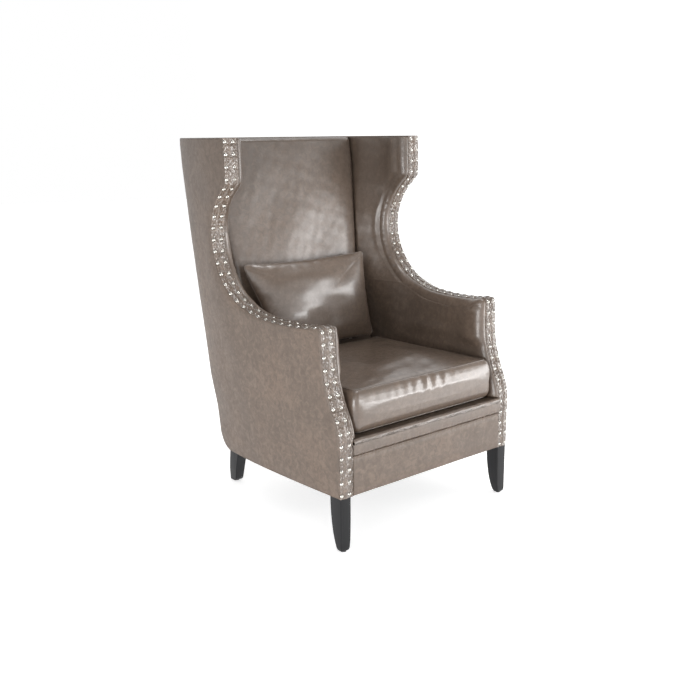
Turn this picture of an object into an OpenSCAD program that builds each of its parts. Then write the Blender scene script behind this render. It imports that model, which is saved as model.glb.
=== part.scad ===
// Tall wing chair: hardwood frame, sprung seat, padded arms and wings with a
// studded facing band, a loose box cushion, a loose lumbar pillow, four legs.
// Millimetres. +Z up, front faces -Y, origin on the floor under the middle.

/* [Overall] */
// Height of the back and the wings above the floor
total_h = 1143; // [1080:1:1200]
// Height of the underside of the body at the front
leg_h = 165; // [140:1:185]
// Half width across the wings at their front edges
wing_half_w = 386; // [370:1:400]
// Half width across the rear corners
rear_half_w = 334; // [325:1:345]
// Half width across the arms at the front
arm_half_w = 349; // [343:1:356]
// Fall of the seat from front to back, per unit of depth
seat_fall = 0.03; // [0.01:0.005:0.05]

/* [Back] */
// Lean of the back, per unit of height
rake = 0.184; // [0.15:0.002:0.21]
// Depth of the rear line where it would meet the floor
rear_base = 617; // [600:1:640]
// Thickness of the back at its side seams
back_t = 106; // [98:1:116]
// How far the middle of the back pad stands forward of its seams
back_crown = 14; // [4:1:18]

/* [Sides] */
// Width of the studded facing band
band_w = 46; // [40:1:50]
// Thickness of the facing band
band_t = 5; // [3:0.5:6]
// Thickness of a side from outside to inside face at its front edge
side_t = 60; // [56:1:64]
// Thickness of the outside covers
cover_t = 2.5; // [1.5:0.5:3]

/* [Studs] */
// Diameter of a stud head
stud_d = 12.5; // [8:0.5:14]
// Height of a stud head
stud_h = 4; // [2.5:0.5:5]
// Distance from stud to stud along the band
stud_pitch = 36; // [24:1:48]
// Distance of the outer row from the outer edge of the band
stud_row_1 = 5.5; // [5:0.5:9]
// Distance of the inner row from the outer edge of the band
stud_row_2 = 32; // [26:0.5:36]

/* [Seat cushion] */
// Half width of the cushion
cush_a = 281; // [270:1:282]
// Depth of the cushion from front to back
cush_d = 546; // [500:1:548]
// Thickness of the cushion at its edge
cush_t = 128; // [100:1:135]
// Rise of the crown over the edge
cush_crown = 18; // [6:1:20]

/* [Lumbar pillow] */
// Half width of the pillow
pil_a = 248; // [220:1:252]
// Half height of the pillow
pil_h = 147; // [120:1:148]
// Half thickness of the pillow at its fullest
pil_t = 44; // [30:1:45]

/* [Legs] */
// Width of a front leg at the top
leg_w = 38; // [34:1:40]
// Depth of a front leg at the top
leg_d = 49; // [42:1:50]
// Diameter of a leg bolt
bolt_d = 8; // [6:1:10]

/* [Hidden] */

$fn = 24;
roll_proud = 14;                      // front border roll beyond the post fronts
fall_a = atan(seat_fall);
front_most = -roll_proud * cos(fall_a) + 131 * sin(fall_a);
y_shift = -(rear_base + rake * total_h + front_most) / 2;
glide_t = 3;

leather = [0.53, 0.48, 0.44];
wood = [0.80, 0.68, 0.50];
dark = [0.16, 0.16, 0.17];
steel = [0.75, 0.75, 0.76];
foam = [0.93, 0.90, 0.78];
cloth = [0.20, 0.20, 0.21];

function clamp(v, a, b) = min(max(v, a), b);
function ss(a, b, x) = let (t = clamp((x - a) / (b - a), 0, 1)) t * t * (3 - 2 * t);
function unit(v) = v / norm(v);
function rear_y(z) = rear_base + rake * z;

// Outside face of a side, as half width at depth y and height z.
function out_x(y, z) =
    let (d = clamp((rear_y(z) - y) / 270, 0, 1),
         rise = rear_half_w + (wing_half_w - rear_half_w) * (1 - pow(1 - d, 2)),
         narrow = (1 - ss(750, 980, z)) * (wing_half_w - arm_half_w)
                  * pow(max(600 - y, 0) / 530, 1.17),
         top = rise - narrow,
         base = 353.5 - (y < 350 ? 9.5 * pow((350 - y) / 350, 2) : 15 * pow((y - 350) / 290, 2)),
         w = clamp((z - 150) / 490, 0, 1))
    base * (1 - w) + top * w;

// Side view of the front edge: foot of the post, knee, arm front, arm top,
// scoop and wing. Each entry is depth, height, and the height of the matching
// point on the rear line.
edge = [[0, leg_h, 147], [0, 205, 160], [0, 250, 190], [-1, 300, 230], [0, 345, 265], [12, 383, 300],
    [30, 420, 335], [47, 462, 365], [59, 505, 395], [64.5, 550, 425], [66, 600, 455],
    [68, 628, 475], [80, 640, 487], [115, 635, 505], [175, 630, 530], [240, 628, 552],
    [300, 629.5, 572], [350, 634, 590], [400, 646, 612], [445, 662, 640], [483, 684, 672],
    [518, 718, 712], [545, 758, 755], [561, 802, 800], [566, 846, 845], [561, 888, 888],
    [545, 929, 930], [518, 966, 967], [487, 994, 995], [468.5, 1016, 1017], [467, 1060, 1060],
    [468, 1100, 1100], [471, total_h, total_h]];
last = len(edge) - 1;
// Stations along the edge that every piece following it shares.
stations = concat([for (i = [0:10]) i], [10.5, 11, 11.5, 12, 12.5, 13], [for (i = [14:last]) i]);

function cr(a, b, c, d, t) = 0.5 * (2 * b + (c - a) * t + (2 * a - 5 * b + 4 * c - d) * t * t
    + (3 * b - a - 3 * c + d) * t * t * t);
function ep(t) = let (i = clamp(floor(t), 0, last - 1))
    cr(edge[max(i - 1, 0)], edge[i], edge[i + 1], edge[min(i + 2, last)], t - i);
function tang(t) = let (a = ep(max(t - 0.05, 0)), b = ep(min(t + 0.05, last)))
    unit([b[0] - a[0], b[1] - a[1]]);
function inward(t) = let (g = tang(t)) [g[1], -g[0]];
// Point on the edge moved into the chair by d, as [y, z].
function off(t, d) = let (p = ep(t), n = inward(t)) [p[0] + n[0] * d, p[1] + n[1] * d];

// The same for each station, as straight runs between stations, with the
// distance along the edge, for whatever is spaced along the band.
run = [for (t = stations) let (p = ep(t)) [p[0], p[1]]];
dist = [for (i = 0, s = 0; i < len(run); s = s + (i < len(run) - 1 ? norm(run[i + 1] - run[i]) : 0), i = i + 1) s];
run_y = [for (i = [0:len(run) - 1]) [dist[i], run[i][0]]];
run_z = [for (i = [0:len(run) - 1]) [dist[i], run[i][1]]];
run_len = dist[len(dist) - 1];
// Rear outline of a side cover: the lean line with a rounded lower corner.
corner_r = 58;
corner_z = 205;
function rear_edge_y(z) = rear_y(z)
    - (z < corner_z ? corner_r * (1 - sqrt(max(0, 1 - pow((corner_z - z) / corner_r, 2)))) : 0);

// Depth of the front edge at a height, from the arm up to the wing.
upper = [for (i = [18:last]) [edge[i][1], edge[i][0]]];
function front_y(z) = z < 646 ? 66 : lookup(z, upper);

// Half width of the seam between back pad and side pads.
function seam_x(z) = z < 500 ? 286 : z < 720 ? 286 - 25 * ss(500, 720, z)
    : z < 1060 ? 261 + 36 * (z - 720) / 340 : 297;
// Depth of the back's front face at its seams.
function seam_y(z) = rear_y(z) - back_t;

// Inside face of a side, as half width.
function in_x(y, z) =
    let (a = out_x(y, z) - side_t + 4 * ss(900, 1000, z),
         b = 288 + 35 * clamp((z - 460) / 170, 0, 1) + 30 * clamp((z - 630) / 100, 0, 1),
         f = min(a, b),
         l = min(240, seam_y(z) - front_y(z)),
         u = clamp((y - seam_y(z) + l) / l, 0, 1))
    f + (seam_x(z) - f) * pow(u, 1.3);

module shift() { translate([0, y_shift, 0]) children(); }
module both() { children(); mirror([1, 0, 0]) children(); }
// Frame of the seat: its bottom plane falls towards the back.
module seat_frame() { shift() translate([0, 0, leg_h]) rotate([-atan(seat_fall), 0, 0]) children(); }
// Frame of the back: z runs up the lean, y = 0 is the rear face.
module back_frame() { shift() translate([0, rear_base, 0]) rotate([-atan(rake), 0, 0]) children(); }
// A board given by its low corner and its high corner.
module board(a, b) { translate(a) cube([b[0] - a[0], b[1] - a[1], b[2] - a[2]]); }

// Closed solid through a list of rings with the same number of points.
module skin(rings) {
    m = len(rings[0]);
    k = len(rings);
    polyhedron(points = [for (r = rings) for (p = r) p],
        faces = concat(
            [[for (j = [m - 1:-1:0]) j]],
            [for (i = [0:k - 2]) for (j = [0:m - 1]) each [
                [i * m + j, i * m + (j + 1) % m, (i + 1) * m + (j + 1) % m],
                [i * m + j, (i + 1) * m + (j + 1) % m, (i + 1) * m + j]]],
            [[for (j = [0:m - 1]) (k - 1) * m + j]]), convexity = 8);
}
// Closed solid between two grids of the same size; a is the face at larger x.
module slab(a, b) {
    n = len(a);
    m = len(a[0]);
    q = n * m;
    polyhedron(points = concat([for (r = a) for (p = r) p], [for (r = b) for (p = r) p]),
        faces = concat(
            [for (i = [0:n - 2]) for (j = [0:m - 2]) each [
                [i * m + j, (i + 1) * m + j, (i + 1) * m + j + 1],
                [i * m + j, (i + 1) * m + j + 1, i * m + j + 1]]],
            [for (i = [0:n - 2]) for (j = [0:m - 2]) each [
                [q + i * m + j, q + (i + 1) * m + j + 1, q + (i + 1) * m + j],
                [q + i * m + j, q + i * m + j + 1, q + (i + 1) * m + j + 1]]],
            [for (j = [0:m - 2]) each [[j, j + 1, q + j + 1], [j, q + j + 1, q + j]]],
            [for (j = [0:m - 2]) let (e = (n - 1) * m) each [
                [e + j, q + e + j + 1, e + j + 1], [e + j, q + e + j, q + e + j + 1]]],
            [for (i = [0:n - 2]) each [[i * m, q + i * m, q + (i + 1) * m], [i * m, q + (i + 1) * m, (i + 1) * m]]],
            [for (i = [0:n - 2]) let (e = m - 1) each [
                [i * m + e, q + (i + 1) * m + e, q + i * m + e], [i * m + e, (i + 1) * m + e, q + (i + 1) * m + e]]]),
        convexity = 10);
}

// ---------------------------------------------------------------- frame
module front_seat_rail() { color(wood) seat_frame() board([-303.5, 6.3, 7], [303.5, 28, 105]); }
module back_seat_rail() {
    color(wood) seat_frame() difference() {
        board([-289.5, 588, 12], [289.5, 619, 105]);
        for (s = [-1, 1]) translate([s * bolt_x_rear, bolt_y_rear, 0]) cylinder(h = 60, d = bolt_d + 4.4);
    }
}
module side_rail() { seat_frame() board([290.5, 53.5, 7], [318.5, 569, 97]); }
module side_seat_rail_right() { color(wood) side_rail(); }
module side_seat_rail_left() { color(wood) mirror([1, 0, 0]) side_rail(); }

// Places and directions of the two screws in each block: x, y, turn.
block_holes = [[261, 85, 0], [232, 56, -90], [261, 525, 0], [232, 554, 90]];
module at_hole(h) { translate([h[0], h[1], 50]) rotate([0, 0, h[2]]) rotate([0, 90, 0]) children(); }
module corner_blocks() {
    color(wood) seat_frame() both() difference() {
        translate([0, 0, 20]) linear_extrude(60) {
            polygon([[290, 28.5], [290, 110], [280, 110], [208, 38], [208, 28.5]]);
            polygon([[289.5, 587.5], [289.5, 500], [280, 500], [206, 574], [206, 587.5]]);
        }
        for (h = block_holes) at_hole(h) {
            cylinder(h = 60, d = 5);
            translate([0, 0, -20]) cylinder(h = 20, d = 10);
        }
    }
}
module wood_screw(l) {
    rotate_extrude() polygon([[0, -3], [3.6, -3], [4.5, -1.8], [4.5, 0], [2.4, 0], [2.4, l - 7], [0.4, l], [0, l]]);
}
module block_screws() { color(steel) seat_frame() both() for (h = block_holes) at_hole(h) wood_screw(43); }

post_top = 586;
module arm_post() {
    shift() difference() {
        translate([304, 0, 0]) rotate([90, 0, 90]) linear_extrude(37)
            polygon(concat([[band_t + 1, leg_h + 2]],
                [for (t = [1:9]) off(t, band_t + 1)],
                [[off(9.7, band_t + 1)[0], post_top], [119, post_top], [114, 520], [100, 470], [76, 415],
                 [55, 372], [52, 340], [52, leg_h + 2]]));
        translate([bolt_x_front, bolt_y_front, 0]) cylinder(h = leg_h + 40, d = bolt_d + 2.6);
    }
}
module arm_post_right() { color(wood) arm_post(); }
module arm_post_left() { color(wood) mirror([1, 0, 0]) arm_post(); }

// Ring of a rail that backs the band: [y, z] near and far from the edge.
rail_out = 4;
rail_w = 40;
function rail_ring(n, f) = [
    [out_x(n[0], n[1]) - rail_out, n[0], n[1]], [out_x(n[0], n[1]) - rail_out - rail_w, n[0], n[1]],
    [out_x(f[0], f[1]) - rail_out - rail_w, f[0], f[1]], [out_x(f[0], f[1]) - rail_out, f[0], f[1]]];
miter_t = 18;
module arm_rail() {
    shift() skin(concat([rail_ring([75, 631], [75, 588.5])],
        [for (t = concat([13], [for (i = [14:miter_t]) i])) rail_ring(off(t, band_t + 1), off(t, band_t + 43))]));
}
module arm_rail_right() { color(wood) arm_rail(); }
module arm_rail_left() { color(wood) mirror([1, 0, 0]) arm_rail(); }
module wing_rail() {
    shift() skin(concat([let (n = off(miter_t, band_t + 1), f = off(miter_t, band_t + 43)) rail_ring(n + [0.4, 0.1], f + [0.4, 0.1])],
        [for (t = [miter_t + 1:last - 1]) rail_ring(off(t, band_t + 1), off(t, band_t + 43))],
        [let (p = off(last, band_t + 1)) rail_ring([p[0], total_h - 7], [p[0] + 42, total_h - 7])]));
}
module wing_rail_right() { color(wood) wing_rail(); }
module wing_rail_left() { color(wood) mirror([1, 0, 0]) wing_rail(); }

// Board from [x, y] to [x, y] in plan, w thick, between two heights.
module plan_board(a, b, w, z0, z1) {
    shift() translate([a[0], a[1], z0])
        rotate([0, 0, atan2(b[1] - a[1], b[0] - a[0])])
            translate([0, -w / 2, 0]) cube([norm(b - a), w, z1 - z0]);
}
module wing_top_ties() {
    color(wood) both() plan_board([357, 521], [336, rear_y(total_h - 60) - 79], 18, total_h - 60, total_h - 8);
}
module wing_lower_ties() {
    color(wood) both() plan_board([350, 426], [331, rear_y(552) - 79], 18, 552, 597);
}
module back_post() { back_frame() board([290, -77, 202], [330, -5, (total_h - 21) / cos(atan(rake))]); }
module back_post_right() { color(wood) back_post(); }
module back_post_left() { color(wood) mirror([1, 0, 0]) back_post(); }
module top_rail() {
    s = (total_h - 21) / cos(atan(rake));
    color(wood) back_frame() board([-289.5, -77, s - 64], [289.5, -49, s]);
}
module lumbar_rail() { color(wood) back_frame() board([-289.5, -77, 330], [289.5, -49, 392]); }

// ---------------------------------------------------------------- suspension
loops = 24;
loop_pitch = 24.5;
wire_r = 1.9;
function spring_path() = [for (k = [0:loops - 1]) let (s = k % 2 == 0 ? 1 : -1) each [
    [-19 * s, k * loop_pitch], [19 * s, k * loop_pitch],
    [25 * s, (k + 0.25) * loop_pitch], [25 * s, (k + 0.75) * loop_pitch]]];
function spring_ring(p, d, z) = let (n = [d[1], -d[0]]) [for (a = [0:72:359])
    [p[0] + n[0] * wire_r * cos(a), p[1] + n[1] * wire_r * cos(a), z + wire_r * sin(a)]];
module spring() {
    p = spring_path();
    n = len(p);
    l = loops * loop_pitch;
    skin([for (i = [0:n - 1]) let (a = p[max(i - 1, 0)], b = p[min(i + 1, n - 1)], u = p[i][1] / l)
        spring_ring(p[i], unit(b - a), 64 * u * (1 - u) * 0.98)]);
}
spring_x = [-220, -110, 0, 110, 220];
module seat_springs() { color(steel) seat_frame() for (x = spring_x) translate([x, 14.5, 109.8]) spring(); }
module clip() {
    rotate([90, 0, 90]) translate([0, 0, -28]) linear_extrude(56)
        polygon([[8, 105.1], [27.5, 105.1], [27.5, 106.3], [9.2, 106.3], [9.2, 113.4], [24, 113.4], [24, 114.6], [8, 114.6]]);
}
module spring_clips() {
    color(steel) seat_frame() for (x = spring_x) translate([x, 0, 0]) {
        clip();
        translate([0, 616.5, 0]) mirror([0, 1, 0]) clip();
    }
}
module seat_deck_pad() { color(foam) seat_frame() board([-296, 31, 132], [296, 582, 166.2]); }
module back_webbing() {
    color(cloth) back_frame() {
        for (i = [0:6]) board([-322, -78.5, 420 + i * 95], [322, -77.2, 470 + i * 95]);
        for (x = [-200, -80, 40, 160]) board([x - 5, -79.9, 336], [x + 45, -78.7, 1122]);
    }
}

// ---------------------------------------------------------------- padding and covers
pad_foot = 334;
pad_t = concat([3.75], [for (t = stations) if (t > 3.9) t]);
function pad_rear_z(t) = pad_foot + (ep(t)[2] - ep(3.75)[2]) * (total_h - 5 - pad_foot) / (total_h - ep(3.75)[2]);
pad_u = [0, 0.03, 0.1, 0.25, 0.45, 0.65, 0.84, 1];
function pad_pt(t, u) = let (f = off(t, 1.5), z = pad_rear_z(t),
    a = [f[0], min(max(f[1], pad_foot), total_h - 5)], b = [rear_y(z) - 81.5, z]) a + (b - a) * u;
function pad_back_x(y, z) = min(out_x(y, z) - band_w - 0.6, z < 610 ? 303 + max(0, y - 122) * 0.5 : 999);
module side_pad() {
    shift() slab(
        [for (t = pad_t) [for (u = pad_u) let (p = pad_pt(t, u)) [pad_back_x(p[0], p[1]), p[0], p[1]]]],
        [for (t = pad_t) [for (u = pad_u) let (p = pad_pt(t, u), q = u == 0 ? off(t, 4) : p,
            x = in_x(p[0], p[1]) + (u == 0 ? 5 : u < 0.05 ? 1 : 0)) [x, u == 0 ? q[0] : p[0], u == 0 ? min(max(q[1], pad_foot), total_h - 5) : p[1]]]]);
}
module inside_side_pad_right() { color(leather) side_pad(); }
module inside_side_pad_left() { color(leather) mirror([1, 0, 0]) side_pad(); }

back_foot = 322;
module inside_back_pad() {
    cols = [-1, -0.97, -0.9, -0.7, -0.4, 0, 0.4, 0.7, 0.9, 0.97, 1];
    rows = concat([0, 0.03], [for (i = [1:13]) i / 15], [0.93, 0.965, 0.985, 1]);
    top = total_h - 5;
    function z_at(v) = back_foot + (top - back_foot) * v;
    function face_y(u, v) = let (z = z_at(v), r = pow(abs(u), 2.6)) min(rear_y(z) - 87, seam_y(z) - back_crown * (1 - r) + 8 * pow(max(0, (abs(u) - 0.9) / 0.1), 2)
        + 26 * pow(max(0, (v - 0.94) / 0.06), 2.2) + 8 * pow(max(0, (0.03 - v) / 0.03), 2));
    color(leather) shift() slab(
        [for (v = rows) [for (u = cols) [u * (seam_x(z_at(v)) - 0.8), face_y(u, v), z_at(v)]]],
        [for (v = rows) [for (u = cols) [u * (seam_x(z_at(v)) - 0.8), rear_y(z_at(v)) - 82, z_at(v)]]]);
}

cover_u = [0, 0.2, 0.4, 0.6, 0.8, 0.93, 1];
function cover_pt(t, u) = let (f = off(t, band_t + 0.3), z = ep(t)[2], b = [rear_edge_y(z), z]) [f[0], t == 0 ? leg_h : min(f[1], total_h)] * (1 - u) + b * u;
module side_cover() {
    shift() slab(
        [for (t = stations) [for (u = cover_u) let (p = cover_pt(t, u)) [out_x(p[0], p[1]), p[0], p[1]]]],
        [for (t = stations) [for (u = cover_u) let (p = cover_pt(t, u)) [out_x(p[0], p[1]) - cover_t, p[0], p[1]]]]);
}
module outside_side_cover_right() { color(leather) side_cover(); }
module outside_side_cover_left() { color(leather) mirror([1, 0, 0]) side_cover(); }
module outside_back_cover() {
    zs = [for (z = [160, 165, 172, 181, 192, corner_z, total_h]) z];
    color(leather) shift() translate([-330.6, 0, 0]) rotate([90, 0, 90]) linear_extrude(661.2)
        polygon(concat([for (z = zs) [rear_edge_y(z), z]],
            [for (i = [len(zs) - 1:-1:0]) [rear_edge_y(zs[i]) - cover_t - (zs[i] < 190 ? 1 : 0), zs[i] + (zs[i] < 190 ? 1.5 : 0)]]));
}
function band_ring(t) = let (p = off(t, 0), m = off(t, -1.5), q = off(t, band_t), x = out_x(p[0], p[1]),
    h = t == 0 ? leg_h : undef, k = t == last ? total_h : undef, fz = function(v) h != undef ? h : k != undef ? k : v)
    [[x, p[0], fz(p[1])], [x - band_w / 2, m[0], fz(m[1])], [x - band_w, p[0], fz(p[1])],
     [x - band_w, q[0], fz(q[1])], [x, q[0], fz(q[1])]];
module facing_band() { shift() skin([for (t = stations) band_ring(t)]); }
module facing_band_right() { color(leather) facing_band(); }
module facing_band_left() { color(leather) mirror([1, 0, 0]) facing_band(); }

module stud() {
    r = stud_d / 2;
    rotate_extrude($fn = 16) polygon([[0, -10], [0.9, -10], [0.9, 0], [r, 0], [r, stud_h * 0.25],
        [r * 0.78, stud_h * 0.7], [r * 0.35, stud_h], [0, stud_h]]);
}
module studs(row) {
    for (s = [9:stud_pitch:run_len - 6]) {
        y = lookup(s, run_y);
        z = lookup(s, run_z);
        g = unit([lookup(s + 2, run_y) - lookup(s - 2, run_y), lookup(s + 2, run_z) - lookup(s - 2, run_z)]);
        n = [g[1], -g[0]];
        lift = 1.5 * (1 - abs(row - band_w / 2) / (band_w / 2)) + 0.05;
        translate([out_x(y, z) - row, y - n[0] * lift, z - n[1] * lift]) rotate([atan2(n[0], -n[1]), 0, 0]) stud();
    }
}
module studs_right() { color(steel) shift() { studs(stud_row_1); studs(stud_row_2); } }
module studs_left() { color(steel) mirror([1, 0, 0]) shift() { studs(stud_row_1); studs(stud_row_2); } }

front_w = 296.3;
module front_border_roll() {
    color(leather) seat_frame() translate([-front_w, 0, 0]) rotate([90, 0, 90]) linear_extrude(2 * front_w)
        polygon([[-3, 118.2], [-8, 119.6], [-11, 124], [-roll_proud, 131], [-roll_proud, 150], [-11, 157],
            [-7.5, 162], [-2, 165], [6, 166.2], [30.5, 166.2], [30.5, 118.2]]);
}
module front_apron() { color(leather) seat_frame() board([-front_w, -5, 0.5], [front_w, 6.1, 117.8]); }
module top_cover() {
    ys = [478, 520, 580, 640, 700, 750, 790, 822];
    yi = [478, 520, 580, 640, 690, seam_y(total_h) + 8];
    h = [for (y = ys) [out_x(y, total_h) - 3.2, y]];
    g = [for (i = [len(yi) - 1:-1:0]) [in_x(yi[i], total_h) + 4, yi[i]]];
    right = concat(g, h);
    color(leather) shift() translate([0, 0, total_h - 4.6]) linear_extrude(4.6)
        polygon(concat(right, [for (i = [len(right) - 1:-1:0]) [-right[i][0], right[i][1]]]));
}
module dust_cover() {
    color(cloth) seat_frame() difference() {
        board([-335, 6.5, 3], [335, 612, 4.2]);
        both() {
            board([300, 0, 0], [340, 54, 10]);
            board([250, 580, 0], [312, 630, 10]);
        }
    }
}

// ---------------------------------------------------------------- legs
bolt_x_front = 322.5;
bolt_y_front = 27;
bolt_x_rear = 283;
bolt_y_rear = 607;
leg_in = 343.5 - leg_w;
module front_leg() {
    shift() difference() {
        intersection() {
            translate([300, 0, 0]) rotate([90, 0, 90]) linear_extrude(50)
                polygon([[1, leg_h - 0.3], [leg_d + 1, leg_h - 0.3], [leg_d, 130], [leg_d - 2.5, 100], [leg_d - 6, 75],
                    [leg_d - 11, 50], [leg_d - 17, 30], [leg_d - 23, 14], [leg_d - 29, glide_t], [3, glide_t], [1, 8]]);
            translate([0, 100, 0]) rotate([90, 0, 0]) linear_extrude(150)
                polygon([[leg_in, leg_h], [343.5, leg_h], [343.5, 14], [341, 5], [338, glide_t], [leg_in + 10, glide_t],
                    [leg_in + 6, 10], [leg_in + 3, 30], [leg_in + 1, 80]]);
        }
        translate([bolt_x_front, bolt_y_front, leg_h - 46]) cylinder(h = 60, d = bolt_d + 0.1);
    }
}
module front_leg_right() { color(dark) front_leg(); }
module front_leg_left() { color(dark) mirror([1, 0, 0]) front_leg(); }
rear_leg_top = leg_h - seat_fall * bolt_y_rear + 10.2;
module rear_leg() {
    shift() difference() {
        intersection() {
            translate([240, 0, 0]) rotate([90, 0, 90]) linear_extrude(80)
                polygon([[590, rear_leg_top], [622, rear_leg_top], [rear_edge_y(162), 161.2], [rear_edge_y(168), 167.2], [rear_edge_y(173), 172],
                    [646, 150], [656, 110], [664, 80], [671, 50], [677, 20], [680, glide_t], [646, glide_t],
                    [642, 12], [630, 45], [618, 80], [606, 110], [597, 140]]);
            translate([0, 700, 0]) rotate([90, 0, 0]) linear_extrude(150)
                polygon([[262, 180], [305, 180], [303, 110], [298, 50], [291, glide_t], [257, glide_t], [260, 80]]);
        }
        translate([bolt_x_rear, bolt_y_rear, rear_leg_top - 26]) cylinder(h = 60, d = bolt_d + 0.1);
    }
}
module rear_leg_right() { color(dark) rear_leg(); }
module rear_leg_left() { color(dark) mirror([1, 0, 0]) rear_leg(); }
module leg_bolts() {
    color(steel) shift() both() {
        translate([bolt_x_front, bolt_y_front, leg_h - 45]) cylinder(h = 80, d = bolt_d);
        translate([bolt_x_rear, bolt_y_rear, rear_leg_top - 25]) cylinder(h = 60, d = bolt_d);
    }
}
module tee_nut() {
    difference() {
        union() { cylinder(h = 1.2, d = 20); cylinder(h = 14, d = bolt_d + 2.4); }
        translate([0, 0, -1]) cylinder(h = 20, d = bolt_d + 0.1);
    }
}
module tee_nuts() {
    color(steel) shift() both() {
        translate([bolt_x_front, bolt_y_front, leg_h + 0.7]) tee_nut();
        translate([bolt_x_rear, bolt_y_rear, rear_leg_top + 0.2]) tee_nut();
    }
}
module glides() {
    color(dark) shift() both() {
        translate([326, 11.5, 0]) cylinder(h = glide_t - 0.1, d = 15);
        translate([274, 663, 0]) cylinder(h = glide_t - 0.1, d = 18);
    }
}

// ---------------------------------------------------------------- seat cushion
function sp(v, k) = sign(v) * pow(abs(v), k);
// Rounded rectangle, clockwise from above, half sizes a and b.
function rrect(a, b, z, n = 28) = [for (k = [0:n - 1]) let (w = -360 * (k + 0.5) / n) [a * sp(cos(w), 0.2), b * sp(sin(w), 0.2), z]];
// Each ring: inset from the edge, and height as a share of the edge thickness or the crown.
cush_in = [60, 16, 4, 0.5, -1.5, 0.5, 4, 15, 55, 110, 165];
function cush_z(i) = i == 0 ? 0 : i == 1 ? 0.8 : i == 2 ? 8 : i == 3 ? 22 : i == 4 ? cush_t * 0.5
    : i == 5 ? cush_t - 20 : i == 6 ? cush_t - 7 : i == 7 ? cush_t - 0.5
    : i == 8 ? cush_t + cush_crown * 0.5 : i == 9 ? cush_t + cush_crown * 0.85 : cush_t + cush_crown;
module cushion_form(g) {
    b = cush_d / 2;
    seat_frame() translate([0, 4 + b, 167.2]) skin([for (i = [0:len(cush_in) - 1])
        rrect(cush_a - 1.5 - cush_in[i] - g, b - 1.5 - cush_in[i] - g,
            g + cush_z(i) * (cush_t + cush_crown - 2 * g) / (cush_t + cush_crown))]);
}
module seat_cushion_cover() { color(leather) difference() { cushion_form(0); cushion_form(2); } }
module seat_cushion_core() { color(foam) cushion_form(2.5); }
zip_y = 4 + cush_d + 0.4;
module seat_zip() {
    color(dark) seat_frame() {
        board([-230, zip_y, 167.2 + 52], [230, zip_y + 1, 167.2 + 76]);
        board([-226, zip_y + 1, 167.2 + 61], [226, zip_y + 2.2, 167.2 + 67]);
    }
}
module slider_form() {
    rotate([90, 0, 90]) translate([0, 0, -7]) linear_extrude(14)
        polygon([[1.5, -5], [3.7, -5], [3.7, 5], [1.5, 5], [1.5, 3.6], [2.6, 3.6], [2.6, -3.6], [1.5, -3.6]]);
    translate([-3, 3.8, -22]) cube([6, 0.9, 26]);
    translate([-2, 3.6, -1]) cube([4, 0.4, 4]);
}
module seat_zip_slider() { color(steel) seat_frame() translate([-216, zip_y, 167.2 + 64]) slider_form(); }

// ---------------------------------------------------------------- lumbar pillow
pil_y = 565;
pil_z = 604;
pil_x = -10;
module pillow_frame() {
    shift() translate([pil_x, pil_y, pil_z]) rotate([-atan(rake), 0, 0]) rotate([90, 0, 0]) children();
}
// Outline inset by e, sides drawn in between the corners, clockwise from the front.
function pil_ring(e, z, g, n = 28) = [for (k = [0:n - 1]) let (w = -360 * (k + 0.5) / n,
    x = (pil_a - e - g) * sp(cos(w), 0.22), y = (pil_h - e - g) * sp(sin(w), 0.22),
    dx = 10 * (1 - pow(y / pil_h, 2)) * pow(abs(x) / pil_a, 3), dy = 8 * (1 - pow(x / pil_a, 2)) * pow(abs(y) / pil_h, 3))
    [x - sign(x) * dx, y - sign(y) * dy, z]];
pil_in = [118, 80, 48, 24, 8, 0];
function pil_lift(e) = pow(1 - pow(1 - e / 118, 2.4), 0.72);
module pillow_form(g) {
    n = len(pil_in);
    pillow_frame() skin(concat(
        [for (i = [0:n - 2]) pil_ring(pil_in[i], -(pil_t * 0.9 - g) * pil_lift(pil_in[i]), g)],
        [pil_ring(0, 0, g)],
        [for (i = [n - 2:-1:0]) pil_ring(pil_in[i], (pil_t * 1.15 - g) * pil_lift(pil_in[i]), g)]));
}
module pillow_cover() { color(leather) difference() { pillow_form(0); pillow_form(2); } }
module pillow_fill() { color(foam) pillow_form(2.5); }
module pillow_zip() {
    color(dark) pillow_frame() {
        board([-170, -pil_h - 1.8, -5], [170, -pil_h + 3.4, -4]);
        board([-168, -pil_h - 1.4, -5.9], [168, -pil_h + 1.2, -5]);
    }
}
module pillow_zip_slider() { color(steel) pillow_frame() translate([150, -pil_h, -6.2]) {
    board([-7, -1.8, -1.7], [7, 3, 0]);
    board([-5, -1.3, -2.6], [21, 2.5, -1.7]);
} }

front_seat_rail();
back_seat_rail();
side_seat_rail_left();
side_seat_rail_right();
corner_blocks();
block_screws();
arm_post_left();
arm_post_right();
arm_rail_left();
arm_rail_right();
wing_rail_left();
wing_rail_right();
wing_top_ties();
wing_lower_ties();
back_post_left();
back_post_right();
top_rail();
lumbar_rail();
seat_springs();
spring_clips();
seat_deck_pad();
back_webbing();
inside_back_pad();
inside_side_pad_left();
inside_side_pad_right();
outside_side_cover_left();
outside_side_cover_right();
outside_back_cover();
facing_band_left();
facing_band_right();
studs_left();
studs_right();
front_border_roll();
front_apron();
top_cover();
dust_cover();
front_leg_left();
front_leg_right();
rear_leg_left();
rear_leg_right();
leg_bolts();
tee_nuts();
glides();
seat_cushion_cover();
seat_cushion_core();
seat_zip();
seat_zip_slider();
pillow_cover();
pillow_fill();
pillow_zip();
pillow_zip_slider();
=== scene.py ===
# Tall wing chair in grey-brown leather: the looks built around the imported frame.
# Work is in millimetres in the CAD's own drawing frame (depth from the front of
# the arm posts), and W() turns it into the row frame in metres.
import math

import bmesh
import bpy
import numpy as np
from mathutils import Matrix, Vector


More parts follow.
